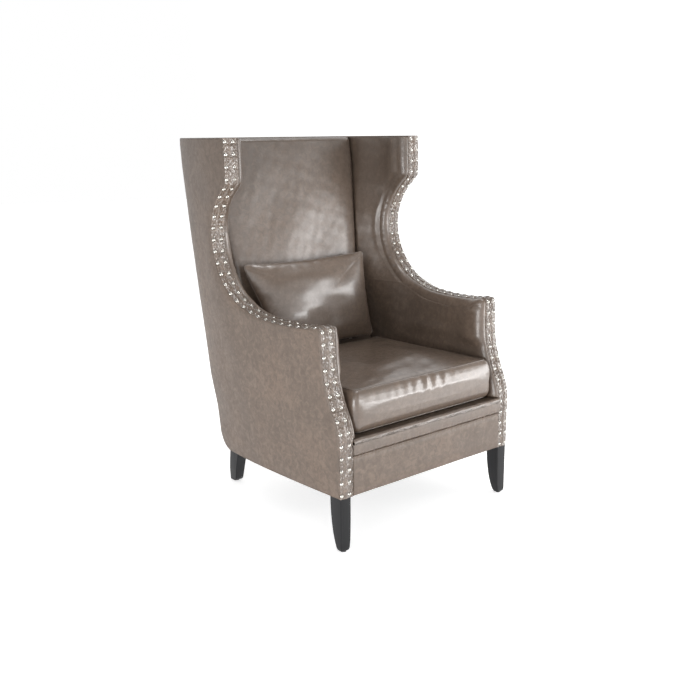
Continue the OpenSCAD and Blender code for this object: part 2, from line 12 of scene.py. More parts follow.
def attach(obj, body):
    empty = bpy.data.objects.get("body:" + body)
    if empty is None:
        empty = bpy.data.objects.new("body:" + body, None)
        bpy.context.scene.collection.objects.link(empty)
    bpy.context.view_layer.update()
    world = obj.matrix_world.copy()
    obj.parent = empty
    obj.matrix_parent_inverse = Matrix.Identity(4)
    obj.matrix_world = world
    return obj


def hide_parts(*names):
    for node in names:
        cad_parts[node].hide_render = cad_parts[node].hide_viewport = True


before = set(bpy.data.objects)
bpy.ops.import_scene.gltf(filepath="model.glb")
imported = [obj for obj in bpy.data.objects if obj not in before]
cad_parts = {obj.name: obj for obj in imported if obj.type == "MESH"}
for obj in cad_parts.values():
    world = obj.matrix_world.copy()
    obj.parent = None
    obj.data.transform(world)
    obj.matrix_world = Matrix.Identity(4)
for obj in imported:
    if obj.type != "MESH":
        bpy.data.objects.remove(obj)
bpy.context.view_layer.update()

# ------------------------------------------------------------------ the CAD's own shape
TOTAL_H, LEG_H = 1143.0, 165.0
RAKE, REAR_BASE, BACK_T, BACK_CROWN = 0.184, 617.0, 106.0, 14.0
WING_HALF, REAR_HALF, ARM_HALF = 386.0, 334.0, 349.0
FALL = math.atan(0.03)
FRONT_MOST = -14 * math.cos(FALL) + 131 * math.sin(FALL)
Y_SHIFT = -(REAR_BASE + RAKE * TOTAL_H + FRONT_MOST) / 2
BAND_W, BAND_T = 46.0, 5.0
EDGE = np.array([
    [0, 165, 147], [0, 205, 160], [0, 250, 190], [-1, 300, 230], [0, 345, 265], [12, 383, 300],
    [30, 420, 335], [47, 462, 365], [59, 505, 395], [64.5, 550, 425], [66, 600, 455],
    [68, 628, 475], [80, 640, 487], [115, 635, 505], [175, 630, 530], [240, 628, 552],
    [300, 629.5, 572], [350, 634, 590], [400, 646, 612], [445, 662, 640], [483, 684, 672],
    [518, 718, 712], [545, 758, 755], [561, 802, 800], [566, 846, 845], [561, 888, 888],
    [545, 929, 930], [518, 966, 967], [487, 994, 995], [468.5, 1016, 1017], [467, 1060, 1060],
    [468, 1100, 1100], [471, 1143, 1143]], float)
LAST = len(EDGE) - 1
STATIONS = [float(i) for i in range(11)] + [10.5, 11, 11.5, 12, 12.5, 13] + [float(i) for i in range(14, LAST + 1)]


def W(p):
    q = np.array(p, float)
    q[..., 1] += Y_SHIFT
    return q * 0.001


def ss(a, b, x):
    t = np.clip((np.asarray(x, float) - a) / (b - a), 0, 1)
    return t * t * (3 - 2 * t)


def rear_y(z):
    return REAR_BASE + RAKE * np.asarray(z, float)


def rear_edge_y(z):
    z = np.asarray(z, float)
    low = 58 * (1 - np.sqrt(np.maximum(0, 1 - ((205 - np.minimum(z, 205)) / 58) ** 2)))
    return rear_y(z) - np.where(z < 205, low, 0)


def out_x(y, z):
    y, z = np.asarray(y, float), np.asarray(z, float)
    d = np.clip((rear_y(z) - y) / 270, 0, 1)
    rise = REAR_HALF + (WING_HALF - REAR_HALF) * (1 - (1 - d) ** 2)
    narrow = (1 - ss(750, 980, z)) * (WING_HALF - ARM_HALF) * (np.maximum(600 - y, 0) / 530) ** 1.17
    top = rise - narrow
    base = 353.5 - np.where(y < 350, 9.5 * ((350 - y) / 350) ** 2, 15 * ((y - 350) / 290) ** 2)
    w = np.clip((z - 150) / 490, 0, 1)
    return base * (1 - w) + top * w


def seam_x(z):
    z = np.asarray(z, float)
    return np.where(z < 500, 286, np.where(z < 720, 286 - 25 * ss(500, 720, z),
                                           np.where(z < 1060, 261 + 36 * (z - 720) / 340, 297)))


def seam_y(z):
    return rear_y(z) - BACK_T


def front_y(z):
    return np.where(z < 646, 66, np.interp(z, EDGE[18:, 1], EDGE[18:, 0]))


def in_x(y, z):
    y, z = np.asarray(y, float), np.asarray(z, float)
    a = out_x(y, z) - 60 + 4 * ss(900, 1000, z)
    b = 288 + 35 * ss(452, 640, z) + 30 * ss(612, 752, z)
    f = -6 * np.logaddexp(-a / 6, -b / 6)
    run = np.minimum(240, seam_y(z) - front_y(z))
    u = np.clip((y - seam_y(z) + run) / run, 0, 1)
    return f + (seam_x(z) - f) * u ** 1.3


def ep(t):
    t = np.asarray(t, float)
    i = np.clip(np.floor(t), 0, LAST - 1).astype(int)
    a, b, c, d = EDGE[np.maximum(i - 1, 0)], EDGE[i], EDGE[i + 1], EDGE[np.minimum(i + 2, LAST)]
    f = (t - i)[..., None]
    return 0.5 * (2 * b + (c - a) * f + (2 * a - 5 * b + 4 * c - d) * f * f + (3 * b - a - 3 * c + d) * f ** 3)


def inward(t):
    t = np.asarray(t, float)
    g = ep(np.minimum(t + 0.05, LAST))[..., :2] - ep(np.maximum(t - 0.05, 0))[..., :2]
    g = g / np.linalg.norm(g, axis=-1, keepdims=True)
    return np.stack([g[..., 1], -g[..., 0]], -1)


def off(t, d):
    d = np.asarray(d, float)[..., None] if np.ndim(d) else d
    return ep(t)[..., :2] + inward(t) * d


T_FINE = np.linspace(0, LAST, 6401)
P_FINE = ep(T_FINE)[:, :2]
S_FINE = np.concatenate([[0], np.cumsum(np.linalg.norm(np.diff(P_FINE, axis=0), axis=1))])
LENGTH = S_FINE[-1]


def t_at(s):
    return np.interp(s, S_FINE, T_FINE)


def seat(p):
    """Seat frame to drawing frame."""
    p = np.asarray(p, float)
    c, s = math.cos(FALL), math.sin(FALL)
    return np.stack([p[..., 0], p[..., 1] * c + p[..., 2] * s, LEG_H - p[..., 1] * s + p[..., 2] * c], -1)


def pillow_place(p):
    """Pillow frame (x, up, forward) to drawing frame."""
    p = np.asarray(p, float)
    a = math.atan(RAKE)
    c, s = math.cos(a), math.sin(a)
    return np.stack([-10 + p[..., 0], 565 - p[..., 2] * c + p[..., 1] * s, 604 + p[..., 2] * s + p[..., 1] * c], -1)


# ------------------------------------------------------------------ small helpers
def wav(p, wl, seed, n=8):
    """Smooth waves of about that length, unit size, the same every run."""
    r = np.random.RandomState(seed)
    p = np.asarray(p, float)
    out = np.zeros(p.shape[:-1])
    for _ in range(n):
        d = r.normal(size=p.shape[-1])
        d /= np.linalg.norm(d)
        out += np.sin(2 * np.pi * (p @ d) / (wl * (0.7 + 0.8 * r.rand())) + r.rand() * 2 * np.pi)
    return out / math.sqrt(n)


def quads(n, m, base=0, wrap=False, flip=False):
    i = np.arange(n - 1)[:, None]
    j = np.arange(m if wrap else m - 1)[None, :]
    k = (j + 1) % m
    f = np.stack([base + i * m + j, base + i * m + k, base + (i + 1) * m + k, base + (i + 1) * m + j], -1).reshape(-1, 4)
    return (f[:, ::-1] if flip else f).tolist()


def new_object(name, verts_m, faces, smooth=True, fix_normals=True):
    me = bpy.data.meshes.new(name)
    me.from_pydata(np.asarray(verts_m, float).reshape(-1, 3).tolist(), [], faces)
    me.update()
    if fix_normals:
        bm = bmesh.new()
        bm.from_mesh(me)
        bmesh.ops.recalc_face_normals(bm, faces=bm.faces)
        bm.to_mesh(me)
        bm.free()
    if smooth:
        me.polygons.foreach_set("use_smooth", [True] * len(me.polygons))
    ob = bpy.data.objects.new(name, me)
    bpy.context.scene.collection.objects.link(ob)
    return ob


class Build:
    """Collects grids and tubes into one mesh, in drawing millimetres."""

    def __init__(self):
        self.v, self.f, self.n = [], [], 0

    def add(self, verts, faces):
        verts = np.asarray(verts, float).reshape(-1, 3)
        self.f += [[k + self.n for k in q] for q in faces]
        self.v.append(verts)
        self.n += len(verts)

    def shell(self, a, b):
        """Closed solid between two grids."""
        n, m = a.shape[:2]
        q = n * m
        faces = quads(n, m) + quads(n, m, q, flip=True)
        for j in range(m - 1):
            faces.append([j + 1, j, q + j, q + j + 1])
            e = (n - 1) * m
            faces.append([e + j, e + j + 1, q + e + j + 1, q + e + j])
        for i in range(n - 1):
            faces.append([i * m, (i + 1) * m, q + (i + 1) * m, q + i * m])
            e = m - 1
            faces.append([(i + 1) * m + e, i * m + e, q + i * m + e, q + (i + 1) * m + e])
        self.add(np.concatenate([a.reshape(-1, 3), b.reshape(-1, 3)]), faces)

    def rings(self, g, caps=True):
        """Closed solid through rings, g[i] one ring."""
        n, m = g.shape[:2]
        faces = quads(n, m, wrap=True)
        if caps:
            faces.append(list(range(m))[::-1])
            faces.append([(n - 1) * m + j for j in range(m)])
        self.add(g, faces)

    def tube(self, path, r, sides=8, closed=False):
        path = np.asarray(path, float)
        r = np.broadcast_to(np.asarray(r, float), (len(path),))
        if closed:
            d = np.roll(path, -1, 0) - np.roll(path, 1, 0)
        else:
            d = np.gradient(path, axis=0)
        d /= np.linalg.norm(d, axis=1, keepdims=True) + 1e-12
        up = np.array([0.31, 0.17, 0.93])
        u = np.cross(d, up)
        bad = np.linalg.norm(u, axis=1) < 0.2
        u[bad] = np.cross(d[bad], [1, 0, 0])
        for i in range(1, len(u)):  # keep the rings from twisting
            if u[i] @ u[i - 1] < 0:
                u[i] = -u[i]
        u /= np.linalg.norm(u, axis=1, keepdims=True)
        v = np.cross(d, u)
        a = np.arange(sides) / sides * 2 * np.pi
        g = path[:, None] + r[:, None, None] * (np.cos(a)[None, :, None] * u[:, None] + np.sin(a)[None, :, None] * v[:, None])
        if closed:
            g = np.concatenate([g, g[:1]])
            n, m = g.shape[:2]
            faces = []
            for q in quads(n, m, wrap=True):
                faces.append([k % ((n - 1) * m) for k in q])
            self.add(g[:-1], faces)
        else:
            self.rings(g)

    def object(self, name, mat, body, replaces=(), mirror=False, place=W, smooth=True):
        v = np.concatenate(self.v)
        if mirror:
            v = v * [-1, 1, 1]
        ob = new_object(name, place(v), self.f, smooth)
        return settle(ob, mat, body, replaces)


def settle(ob, mat, body, replaces=()):
    ob.data.materials.clear()
    ob.data.materials.append(mat)
    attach(ob, body)
    if replaces:
        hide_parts(*replaces)
    return ob


def crease(ob, angle=35):
    """Sharp edges where faces turn by more than the angle, so that flat parts shade flat."""
    bm = bmesh.new()
    bm.from_mesh(ob.data)
    for e in bm.edges:
        if len(e.link_faces) == 2:
            e.smooth = e.calc_face_angle(0) < math.radians(angle)
    bm.to_mesh(ob.data)
    bm.free()


# ------------------------------------------------------------------ materials
def node_material(name):
    m = bpy.data.materials.new(name)
    m.use_nodes = True
    nt = m.node_tree
    for n in list(nt.nodes):
        nt.nodes.remove(n)
    out = nt.nodes.new("ShaderNodeOutputMaterial")
    bsdf = nt.nodes.new("ShaderNodeBsdfPrincipled")
    nt.links.new(bsdf.outputs[0], out.inputs["Surface"])
    co = nt.nodes.new("ShaderNodeTexCoord")
    return m, nt, bsdf, co.outputs["Object"]


def tex(nt, kind, vec, scale, detail=3.0, rough=0.55, distortion=0.0, feature=None):
    n = nt.nodes.new("ShaderNodeTex" + kind)
    nt.links.new(vec, n.inputs["Vector"])
    n.inputs["Scale"].default_value = scale
    if kind == "Noise":
        n.inputs["Detail"].default_value = detail
        n.inputs["Roughness"].default_value = rough
        n.inputs["Distortion"].default_value = distortion
        return n.outputs["Fac"]
    if kind == "Voronoi":
        if feature:
            n.feature = feature
        return n.outputs["Distance"]
    return n.outputs["Fac"]


def ramp(nt, fac, stops):
    n = nt.nodes.new("ShaderNodeValToRGB")
    nt.links.new(fac, n.inputs["Fac"])
    el = n.color_ramp.elements
    while len(el) < len(stops):
        el.new(0.5)
    for e, (p, c) in zip(el, stops):
        e.position = p
        e.color = (*c, 1.0) if len(c) == 3 else c
    return n.outputs["Color"]


def maths(nt, op, a, b):
    n = nt.nodes.new("ShaderNodeMath")
    n.operation = op
    for i, v in enumerate((a, b)):
        if isinstance(v, (int, float)):
            n.inputs[i].default_value = v
        else:
            nt.links.new(v, n.inputs[i])
    return n.outputs[0]


def span(nt, fac, lo, hi, a=0.0, b=1.0):
    n = nt.nodes.new("ShaderNodeMapRange")
    nt.links.new(fac, n.inputs["Value"])
    n.inputs["From Min"].default_value = lo
    n.inputs["From Max"].default_value = hi
    n.inputs["To Min"].default_value = a
    n.inputs["To Max"].default_value = b
    return n.outputs["Result"]


def mix(nt, fac, a, b, kind="MIX"):
    n = nt.nodes.new("ShaderNodeMix")
    n.data_type = "RGBA"
    n.blend_type = kind
    if isinstance(fac, (int, float)):
        n.inputs[0].default_value = fac
    else:
        nt.links.new(fac, n.inputs[0])
    for i, v in ((6, a), (7, b)):
        if isinstance(v, tuple):
            n.inputs[i].default_value = (*v, 1.0)
        else:
            nt.links.new(v, n.inputs[i])
    return n.outputs[2]


def bump(nt, height, strength, distance, normal=None):
    n = nt.nodes.new("ShaderNodeBump")
    n.inputs["Strength"].default_value = strength
    n.inputs["Distance"].default_value = distance
    nt.links.new(height, n.inputs["Height"])
    if normal is not None:
        nt.links.new(normal, n.inputs["Normal"])
    return n.outputs["Normal"]


def stretched(nt, vec, scale):
    n = nt.nodes.new("ShaderNodeMapping")
    n.inputs["Scale"].default_value = scale
    nt.links.new(vec, n.inputs["Vector"])
    return n.outputs[0]


def leather(name, tones, rough, coat, coat_rough, wrinkle=0.25, seed=0.0, painted_top_shade=None):
    """Grey-brown leather: cloudy dye in three sizes, pores, fine grain, soft creases, and painted shade that darkens it
    towards the top when a height range is given.
    """
    m, nt, bsdf, obj = node_material(name)
    shifted = nt.nodes.new("ShaderNodeMapping")
    shifted.inputs["Location"].default_value = (seed, seed * 0.7, -seed * 0.4)
    nt.links.new(obj, shifted.inputs["Vector"])
    co = shifted.outputs[0]
    big = tex(nt, "Noise", co, 6.0, 3, 0.55, 0.5)
    mid = tex(nt, "Noise", co, 62.0, 4, 0.60, 0.8)
    spot = tex(nt, "Noise", co, 150.0, 3, 0.6, 0.5)
    fine = tex(nt, "Noise", co, 420.0, 4, 0.7)
    pores = tex(nt, "Voronoi", co, 900.0)
    dark, base, light, warm = tones
    c = ramp(nt, big, [(0.30, dark), (0.5, base), (0.70, warm)])
    c = mix(nt, span(nt, mid, 0.42, 0.66, 0.0, 0.75), c, shade(dark, 0.86))
    c = mix(nt, span(nt, mid, 0.46, 0.30, 0.0, 0.70), c, light)
    c = mix(nt, span(nt, spot, 0.50, 0.72, 0.0, 0.42), c, shade(dark, 0.80))
    c = mix(nt, span(nt, fine, 0.3, 0.75, 0.0, 0.18), c, dark)
    c = mix(nt, span(nt, pores, 0.0, 0.28, 0.35, 0.0), c, shade(dark, 0.6))
    # painted shade: the colour is darkened with height (object Z), standing in for the shade over the upper part of the
    # back and sides
    if painted_top_shade:
        up = nt.nodes.new("ShaderNodeSeparateXYZ")
        nt.links.new(obj, up.inputs[0])
        c = mix(nt, span(nt, up.outputs["Z"], painted_top_shade[0], painted_top_shade[1], 0.0, painted_top_shade[2]), c, shade(dark, 0.40))
    nt.links.new(c, bsdf.inputs["Base Color"])
    r = maths(nt, "ADD", span(nt, mid, 0.3, 0.7, rough - 0.05, rough + 0.05), span(nt, fine, 0.3, 0.7, -0.03, 0.03))
    nt.links.new(r, bsdf.inputs["Roughness"])
    cells = tex(nt, "Voronoi", co, 620.0, feature="DISTANCE_TO_EDGE")
    grain = span(nt, cells, 0.0, 0.12, 0.0, 1.0)
    lines = tex(nt, "Noise", co, 60.0, 5, 0.6, 1.2)
    soft = tex(nt, "Noise", co, 15.0, 2, 0.45, 0.5)
    n = bump(nt, soft, wrinkle, 0.003)
    n = bump(nt, lines, wrinkle * 0.8, 0.0008, n)
    n = bump(nt, grain, 0.20, 0.0002, n)
    nt.links.new(n, bsdf.inputs["Normal"])
    bsdf.inputs["Specular IOR Level"].default_value = 0.5
    bsdf.inputs["Coat Weight"].default_value = coat
    bsdf.inputs["Coat Roughness"].default_value = coat_rough
    return m


def wood(name, dark, light, rough, axis=2, coat=0.0, ring=38.0, spec=0.5):
    m, nt, bsdf, obj = node_material(name)
    k = [1.0, 1.0, 1.0]
    k[axis] = 0.06
    v = stretched(nt, obj, tuple(k))
    rings = tex(nt, "Noise", v, ring, 4, 0.6, 1.6)
    pores = tex(nt, "Noise", stretched(nt, obj, tuple(x * 12 if x == 1.0 else 0.35 for x in k)), 90.0, 3, 0.7)
    c = ramp(nt, rings, [(0.3, dark), (0.55, tuple((a + b) / 2 for a, b in zip(dark, light))), (0.75, light)])
    c = mix(nt, span(nt, pores, 0.35, 0.62, 0.5, 0.0), c, tuple(0.55 * a for a in dark))
    nt.links.new(c, bsdf.inputs["Base Color"])
    nt.links.new(span(nt, rings, 0.3, 0.7, rough - 0.05, rough + 0.07), bsdf.inputs["Roughness"])
    n = bump(nt, pores, 0.25, 0.0004)
    n = bump(nt, rings, 0.12, 0.0006, n)
    nt.links.new(n, bsdf.inputs["Normal"])
    bsdf.inputs["Coat Weight"].default_value = coat
    bsdf.inputs["Coat Roughness"].default_value = 0.25
    bsdf.inputs["Specular IOR Level"].default_value = spec
    return m


def metal(name, base, tarnish, rough, scratch=0.2, scale=150.0):
    m, nt, bsdf, obj = node_material(name)
    spots = tex(nt, "Noise", obj, scale, 4, 0.65)
    hair = tex(nt, "Noise", stretched(nt, obj, (1.0, 6.0, 1.0)), scale * 4, 2, 0.6)
    nt.links.new(ramp(nt, spots, [(0.35, tarnish), (0.6, base)]), bsdf.inputs["Base Color"])
    nt.links.new(span(nt, spots, 0.3, 0.7, rough + 0.12, rough), bsdf.inputs["Roughness"])
    nt.links.new(bump(nt, hair, scratch, 0.0002), bsdf.inputs["Normal"])
    bsdf.inputs["Metallic"].default_value = 1.0
    return m


def woven(name, a, b, pitch, rough=0.9, depth=0.0004):
    """Plain weave from two crossed wave patterns."""
    m, nt, bsdf, obj = node_material(name)
    waves = []
    for rot in ((0, 0, 0), (0, 0, math.radians(90))):
        mp = nt.nodes.new("ShaderNodeMapping")
        mp.inputs["Rotation"].default_value = rot
        nt.links.new(obj, mp.inputs["Vector"])
        w = nt.nodes.new("ShaderNodeTexWave")
        w.inputs["Scale"].default_value = 1.0 / pitch / 3.2
        w.inputs["Distortion"].default_value = 0.6
        w.inputs["Detail"].default_value = 1.0
        nt.links.new(mp.outputs[0], w.inputs["Vector"])
        waves.append(w.outputs["Fac"])
    weave = maths(nt, "MULTIPLY", waves[0], waves[1])
    blotch = tex(nt, "Noise", obj, 40.0, 4, 0.6)
    c = ramp(nt, weave, [(0.1, a), (0.8, b)])
    c = mix(nt, span(nt, blotch, 0.35, 0.65, 0.0, 0.35), c, tuple(0.7 * x for x in a))
    nt.links.new(c, bsdf.inputs["Base Color"])
    nt.links.new(span(nt, blotch, 0.3, 0.7, rough - 0.06, rough + 0.04), bsdf.inputs["Roughness"])
    nt.links.new(bump(nt, weave, 0.6, depth), bsdf.inputs["Normal"])
    return m


def foam_material(name):
    m, nt, bsdf, obj = node_material(name)
    cells = tex(nt, "Voronoi", obj, 420.0)
    tint = tex(nt, "Noise", obj, 9.0, 3, 0.5)
    c = ramp(nt, tint, [(0.3, (0.78, 0.70, 0.46)), (0.7, (0.86, 0.80, 0.60))])
    c = mix(nt, span(nt, cells, 0.0, 0.5, 0.4, 0.0), c, (0.55, 0.47, 0.28))
    nt.links.new(c, bsdf.inputs["Base Color"])
    nt.links.new(span(nt, tint, 0.3, 0.7, 0.85, 0.95), bsdf.inputs["Roughness"])
    nt.links.new(bump(nt, cells, 0.5, 0.0008), bsdf.inputs["Normal"])
    return m


def shade(c, k):
    return tuple(min(1.0, v * k) for v in c)


TAUPE = (0.145, 0.105, 0.079)
# OUTSIDE and INSIDE carry painted shade: their colour darkens towards the top
OUTSIDE = leather("leather_outside", (shade(TAUPE, 0.66), shade(TAUPE, 0.84), shade(TAUPE, 1.08), (0.142, 0.100, 0.073)),
                  0.50, 0.05, 0.35, 0.06, 0.0, painted_top_shade=(0.50, 1.12, 0.34))
INSIDE = leather("leather_inside", (shade(TAUPE, 0.66), shade(TAUPE, 0.84), shade(TAUPE, 1.02), (0.134, 0.095, 0.070)),
                 0.38, 0.55, 0.24, 0.05, 3.1, painted_top_shade=(0.74, 1.12, 0.46))
PLUMP = leather("leather_cushions", (shade(TAUPE, 0.70), shade(TAUPE, 0.86), shade(TAUPE, 1.02), (0.138, 0.099, 0.073)),
                0.34, 0.80, 0.20, 0.05, 5.7)
TRIM = leather("leather_band", (shade(TAUPE, 0.66), shade(TAUPE, 0.86), shade(TAUPE, 1.25), (0.168, 0.128, 0.102)),
               0.28, 1.0, 0.13, 0.40, 9.3)
NICKEL = metal("nickel", (0.66, 0.64, 0.60), (0.26, 0.24, 0.21), 0.20, 0.10, 260.0)
ZINC = metal("zinc", (0.66, 0.67, 0.69), (0.42, 0.42, 0.43), 0.34, 0.3, 60.0)
SPRING = metal("spring_wire", (0.28, 0.28, 0.30), (0.12, 0.10, 0.09), 0.42, 0.3, 60.0)
ZIP_METAL = metal("zip_metal", (0.50, 0.48, 0.45), (0.24, 0.22, 0.20), 0.30, 0.15, 300.0)
FRAME_WOOD = wood("frame_wood", (0.42, 0.26, 0.13), (0.66, 0.47, 0.28), 0.62)
LEG_WOOD = wood("leg_wood", (0.004, 0.004, 0.005), (0.010, 0.010, 0.012), 0.40, coat=0.0, spec=0.30)
FOAM = foam_material("foam")
WEBBING = woven("webbing", (0.035, 0.03, 0.028), (0.11, 0.10, 0.09), 0.0022)
DUST = woven("dust_cloth", (0.008, 0.008, 0.009), (0.026, 0.026, 0.028), 0.0016)
TAPE = woven("zip_tape", (0.02, 0.018, 0.016), (0.06, 0.055, 0.05), 0.0009)
PLASTIC = node_material("glide_plastic")
_m, _nt, _b, _co = PLASTIC
_n = tex(_nt, "Noise", _co, 700.0, 3, 0.6)
_nt.links.new(ramp(_nt, _n, [(0.3, (0.012, 0.012, 0.013)), (0.7, (0.030, 0.030, 0.032))]), _b.inputs["Base Color"])
_nt.links.new(span(_nt, _n, 0.3, 0.7, 0.42, 0.58), _b.inputs["Roughness"])
_nt.links.new(bump(_nt, _n, 0.3, 0.0002), _b.inputs["Normal"])
PLASTIC = _m
THREAD = woven("thread", (0.10, 0.075, 0.06), (0.24, 0.19, 0.155), 0.0006, 0.75, 0.0002)

for name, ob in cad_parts.items():
    if "screws" in name or "bolts" in name or "nuts" in name or "clips" in name:
        mat = ZINC
    elif name == "seat_springs":
        mat = SPRING
    elif name in ("seat_deck_pad", "seat_cushion_core", "pillow_fill"):
        mat = FOAM
    elif name == "back_webbing":
        mat = WEBBING
    elif name == "glides":
        mat = PLASTIC
    elif name == "dust_cover":
        mat = DUST
    elif "leg_" in name:
        mat = LEG_WOOD
    elif name.startswith("studs"):
        mat = NICKEL
    elif "rail" in name or "post" in name or "blocks" in name or "ties" in name:
        mat = FRAME_WOOD
    elif name in ("seat_zip", "pillow_zip"):
        mat = TAPE
    elif name.endswith("slider"):
        mat = ZIP_METAL
    else:
        mat = OUTSIDE
    ob.data.materials.clear()
    ob.data.materials.append(mat)

# ------------------------------------------------------------------ camera
YAW, PITCH, ROLL, FOCAL = math.radians(-39.054), math.radians(-13.923), math.radians(-0.6), 872.32
fwd = Vector((-math.sin(YAW) * math.cos(PITCH), math.cos(YAW) * math.cos(PITCH), math.sin(PITCH)))
right0 = fwd.cross(Vector((0, 0, 1))).normalized()
up0 = right0.cross(fwd)
right = right0 * math.cos(ROLL) + up0 * math.sin(ROLL)
up = -right0 * math.sin(ROLL) + up0 * math.cos(ROLL)
cam_data = bpy.data.cameras.new("camera")
cam_data.lens = 36.0 * FOCAL / 700
cam_data.sensor_width = 36.0
cam_data.dof.use_dof = False
cam = bpy.data.objects.new("camera", cam_data)
bpy.context.scene.collection.objects.link(cam)
rot = Matrix((right, up, -fwd)).transposed()
cam.matrix_world = Matrix.Translation((-1.737, -1.765 + Y_SHIFT * 0.001, 1.151)) @ rot.to_4x4()
bpy.context.scene.camera = cam

# ------------------------------------------------------------------ studs and facing bands
_run = np.array([ep(t)[:2] for t in STATIONS])
_dist = np.concatenate([[0], np.cumsum(np.linalg.norm(np.diff(_run, axis=0), axis=1))])
NAILS = []
_s = 9.0
while _s <= _dist[-1] - 6:
    y, z = np.interp(_s, _dist, _run[:, 0]), np.interp(_s, _dist, _run[:, 1])
    g = np.array([np.interp(_s + 2, _dist, _run[:, 0]) - np.interp(_s - 2, _dist, _run[:, 0]),
                  np.interp(_s + 2, _dist, _run[:, 1]) - np.interp(_s - 2, _dist, _run[:, 1])])
    g /= np.linalg.norm(g)
    k = int(np.argmin(np.sum((P_FINE - [y, z]) ** 2, axis=1)))
    NAILS.append((y, z, np.array([g[1], -g[0]]), S_FINE[k]))
    _s += 36.0
NAIL_S = np.array([n[3] for n in NAILS])
ROWS = (5.5, 32.0)


def band_relief(s, w, seed):
    """Height of the band's leather over the straight line between its edges."""
    near = np.min(np.abs(s[..., None] - NAIL_S), axis=-1)
    puff = ss(2, 15, near)
    sw = np.stack([s, w * 1.3], -1)
    mid = 18.6 + 0.9 * wav(s[..., None], 70, seed + 5)
    h = 1.5 * (1 - np.abs(w - 23) / 23)
    h = h + (2.0 + 2.1 * puff) * np.exp(-((w - mid) / 3.9) ** 2)
    h = h + (1.7 + 1.6 * puff) * np.exp(-((w - 41.0) / 2.9) ** 2)
    for row in ROWS:
        h = h - 2.1 * np.exp(-((w - row) ** 2 + near ** 2) / 6.4 ** 2)
        h = h - 0.7 * np.exp(-((w - row) / 3.0) ** 2)
    # gathers fan out from every nail and cross the ridges
    for row in ROWS:
        ang = np.arctan2(w - row, near + 1e-6)
        rad = np.hypot(w - row, near)
        h = h + 0.42 * np.sin(ang * 7 + seed) * np.exp(-((rad - 9) / 4.5) ** 2)
    h = h + 0.75 * wav(sw, 12, seed) * (0.45 + 0.55 * puff) + 0.46 * wav(sw, 6.5, seed + 1) + 0.18 * wav(sw, 3.6, seed + 2)
    r = 3.4
    a = np.clip(r - w, 0, r)
    h = h - (r - np.sqrt(np.maximum(r * r - a * a, 0)))
    b = np.clip(r - (BAND_W - w), 0, r)
    h = h - (r - np.sqrt(np.maximum(r * r - b * b, 0))) * 0.9
    return h


def facing_band(side, name):
    s = np.linspace(0, LENGTH, 900)
    t = t_at(s)
    e = np.array([0, 0.25, 0.8, 1.6, 2.5, 3.4])
    w = np.concatenate([e, np.linspace(4.4, BAND_W - 4.4, 38), (BAND_W - e)[::-1]])
    ww, sg = np.meshgrid(w, s)
    h = band_relief(sg, ww, 11 if side > 0 else 23)
    p, nin = ep(t)[:, :2], inward(t)
    xo = out_x(p[:, 0], p[:, 1])
    top = np.empty((len(s), len(w), 3))
    top[..., 0] = xo[:, None] + 0.6 - ww * (BAND_W + 0.6) / BAND_W
    top[..., 1] = p[:, 0:1] - nin[:, 0:1] * h
    top[..., 2] = p[:, 1:2] - nin[:, 1:2] * h
    under = np.empty((len(s), 4, 3))
    for j, (wi, d) in enumerate(((BAND_W - 1.0, 6.5), (BAND_W - 2, 9), (2, 9), (0.6, 6.5))):
        under[:, j, 0] = xo - wi
        under[:, j, 1] = p[:, 0] + nin[:, 0] * d
        under[:, j, 2] = p[:, 1] + nin[:, 1] * d
    g = np.concatenate([top, under], 1)
    g[..., 2] = np.clip(g[..., 2], LEG_H - 0.6, TOTAL_H - 0.2)
    g[0, :, 2], g[-1, :, 2] = LEG_H - 0.6, TOTAL_H - 0.2
    b = Build()
    b.rings(g)
    ob = b.object(name + "_leather", TRIM, "chair", (name,), mirror=side < 0)
    return ob


def studs(side, name):
    r = np.random.RandomState(5 if side > 0 else 6)
    prof = [(0.0, 4.2), (1.3, 4.08), (2.6, 3.68), (3.9, 2.98), (5.0, 2.0), (5.8, 0.95), (6.25, 0.2), (6.3, -0.7)]
    seg = 20
    a = np.arange(seg) / seg * 2 * np.pi
    b = Build()
    for (y, z, nin, s) in NAILS:
        for row in ROWS:
            lift = 1.5 * (1 - abs(row - 23) / 23) - 1.5 + r.uniform(-0.15, 0.15)
            size = r.uniform(0.97, 1.03)
            c = np.array([out_x(y, z) - row, y - nin[0] * lift, z - nin[1] * lift])
            n = np.array([r.normal(0, 0.035), -nin[0], -nin[1]])
            n += r.normal(0, 0.03, 3)
            n /= np.linalg.norm(n)
            u = np.cross(n, [1, 0, 0]); u /= np.linalg.norm(u)
            v = np.cross(n, u)
            verts = [c + n * prof[0][1]]
            for (rr, hh) in prof[1:]:
                for k in range(seg):
                    verts.append(c + n * hh + (u * math.cos(a[k]) + v * math.sin(a[k])) * rr * size)
            faces = [[0, 1 + k, 1 + (k + 1) % seg] for k in range(seg)]
            for i in range(len(prof) - 2):
                for k in range(seg):
                    p0 = 1 + i * seg
                    faces.append([p0 + k, p0 + seg + k, p0 + seg + (k + 1) % seg, p0 + (k + 1) % seg])
            faces.append([1 + (len(prof) - 2) * seg + k for k in range(seg)])
            b.add(verts, faces)
    return b.object(name + "_heads", NICKEL, "chair", (name,), mirror=side < 0)


# ------------------------------------------------------------------ outside covers
CORNER = 12.0


def bow(z):
    """How far, 0 to 1, the padding at the rear corners stands out over the height."""
    return (0.25 * ss(1143, 1120, z) + 0.45 * ss(1143, 1040, z) + 0.30 * ss(1100, 820, z)) * ss(262, 400, z)


def rear_line(z):
    return rear_edge_y(z) + 10 * bow(z)


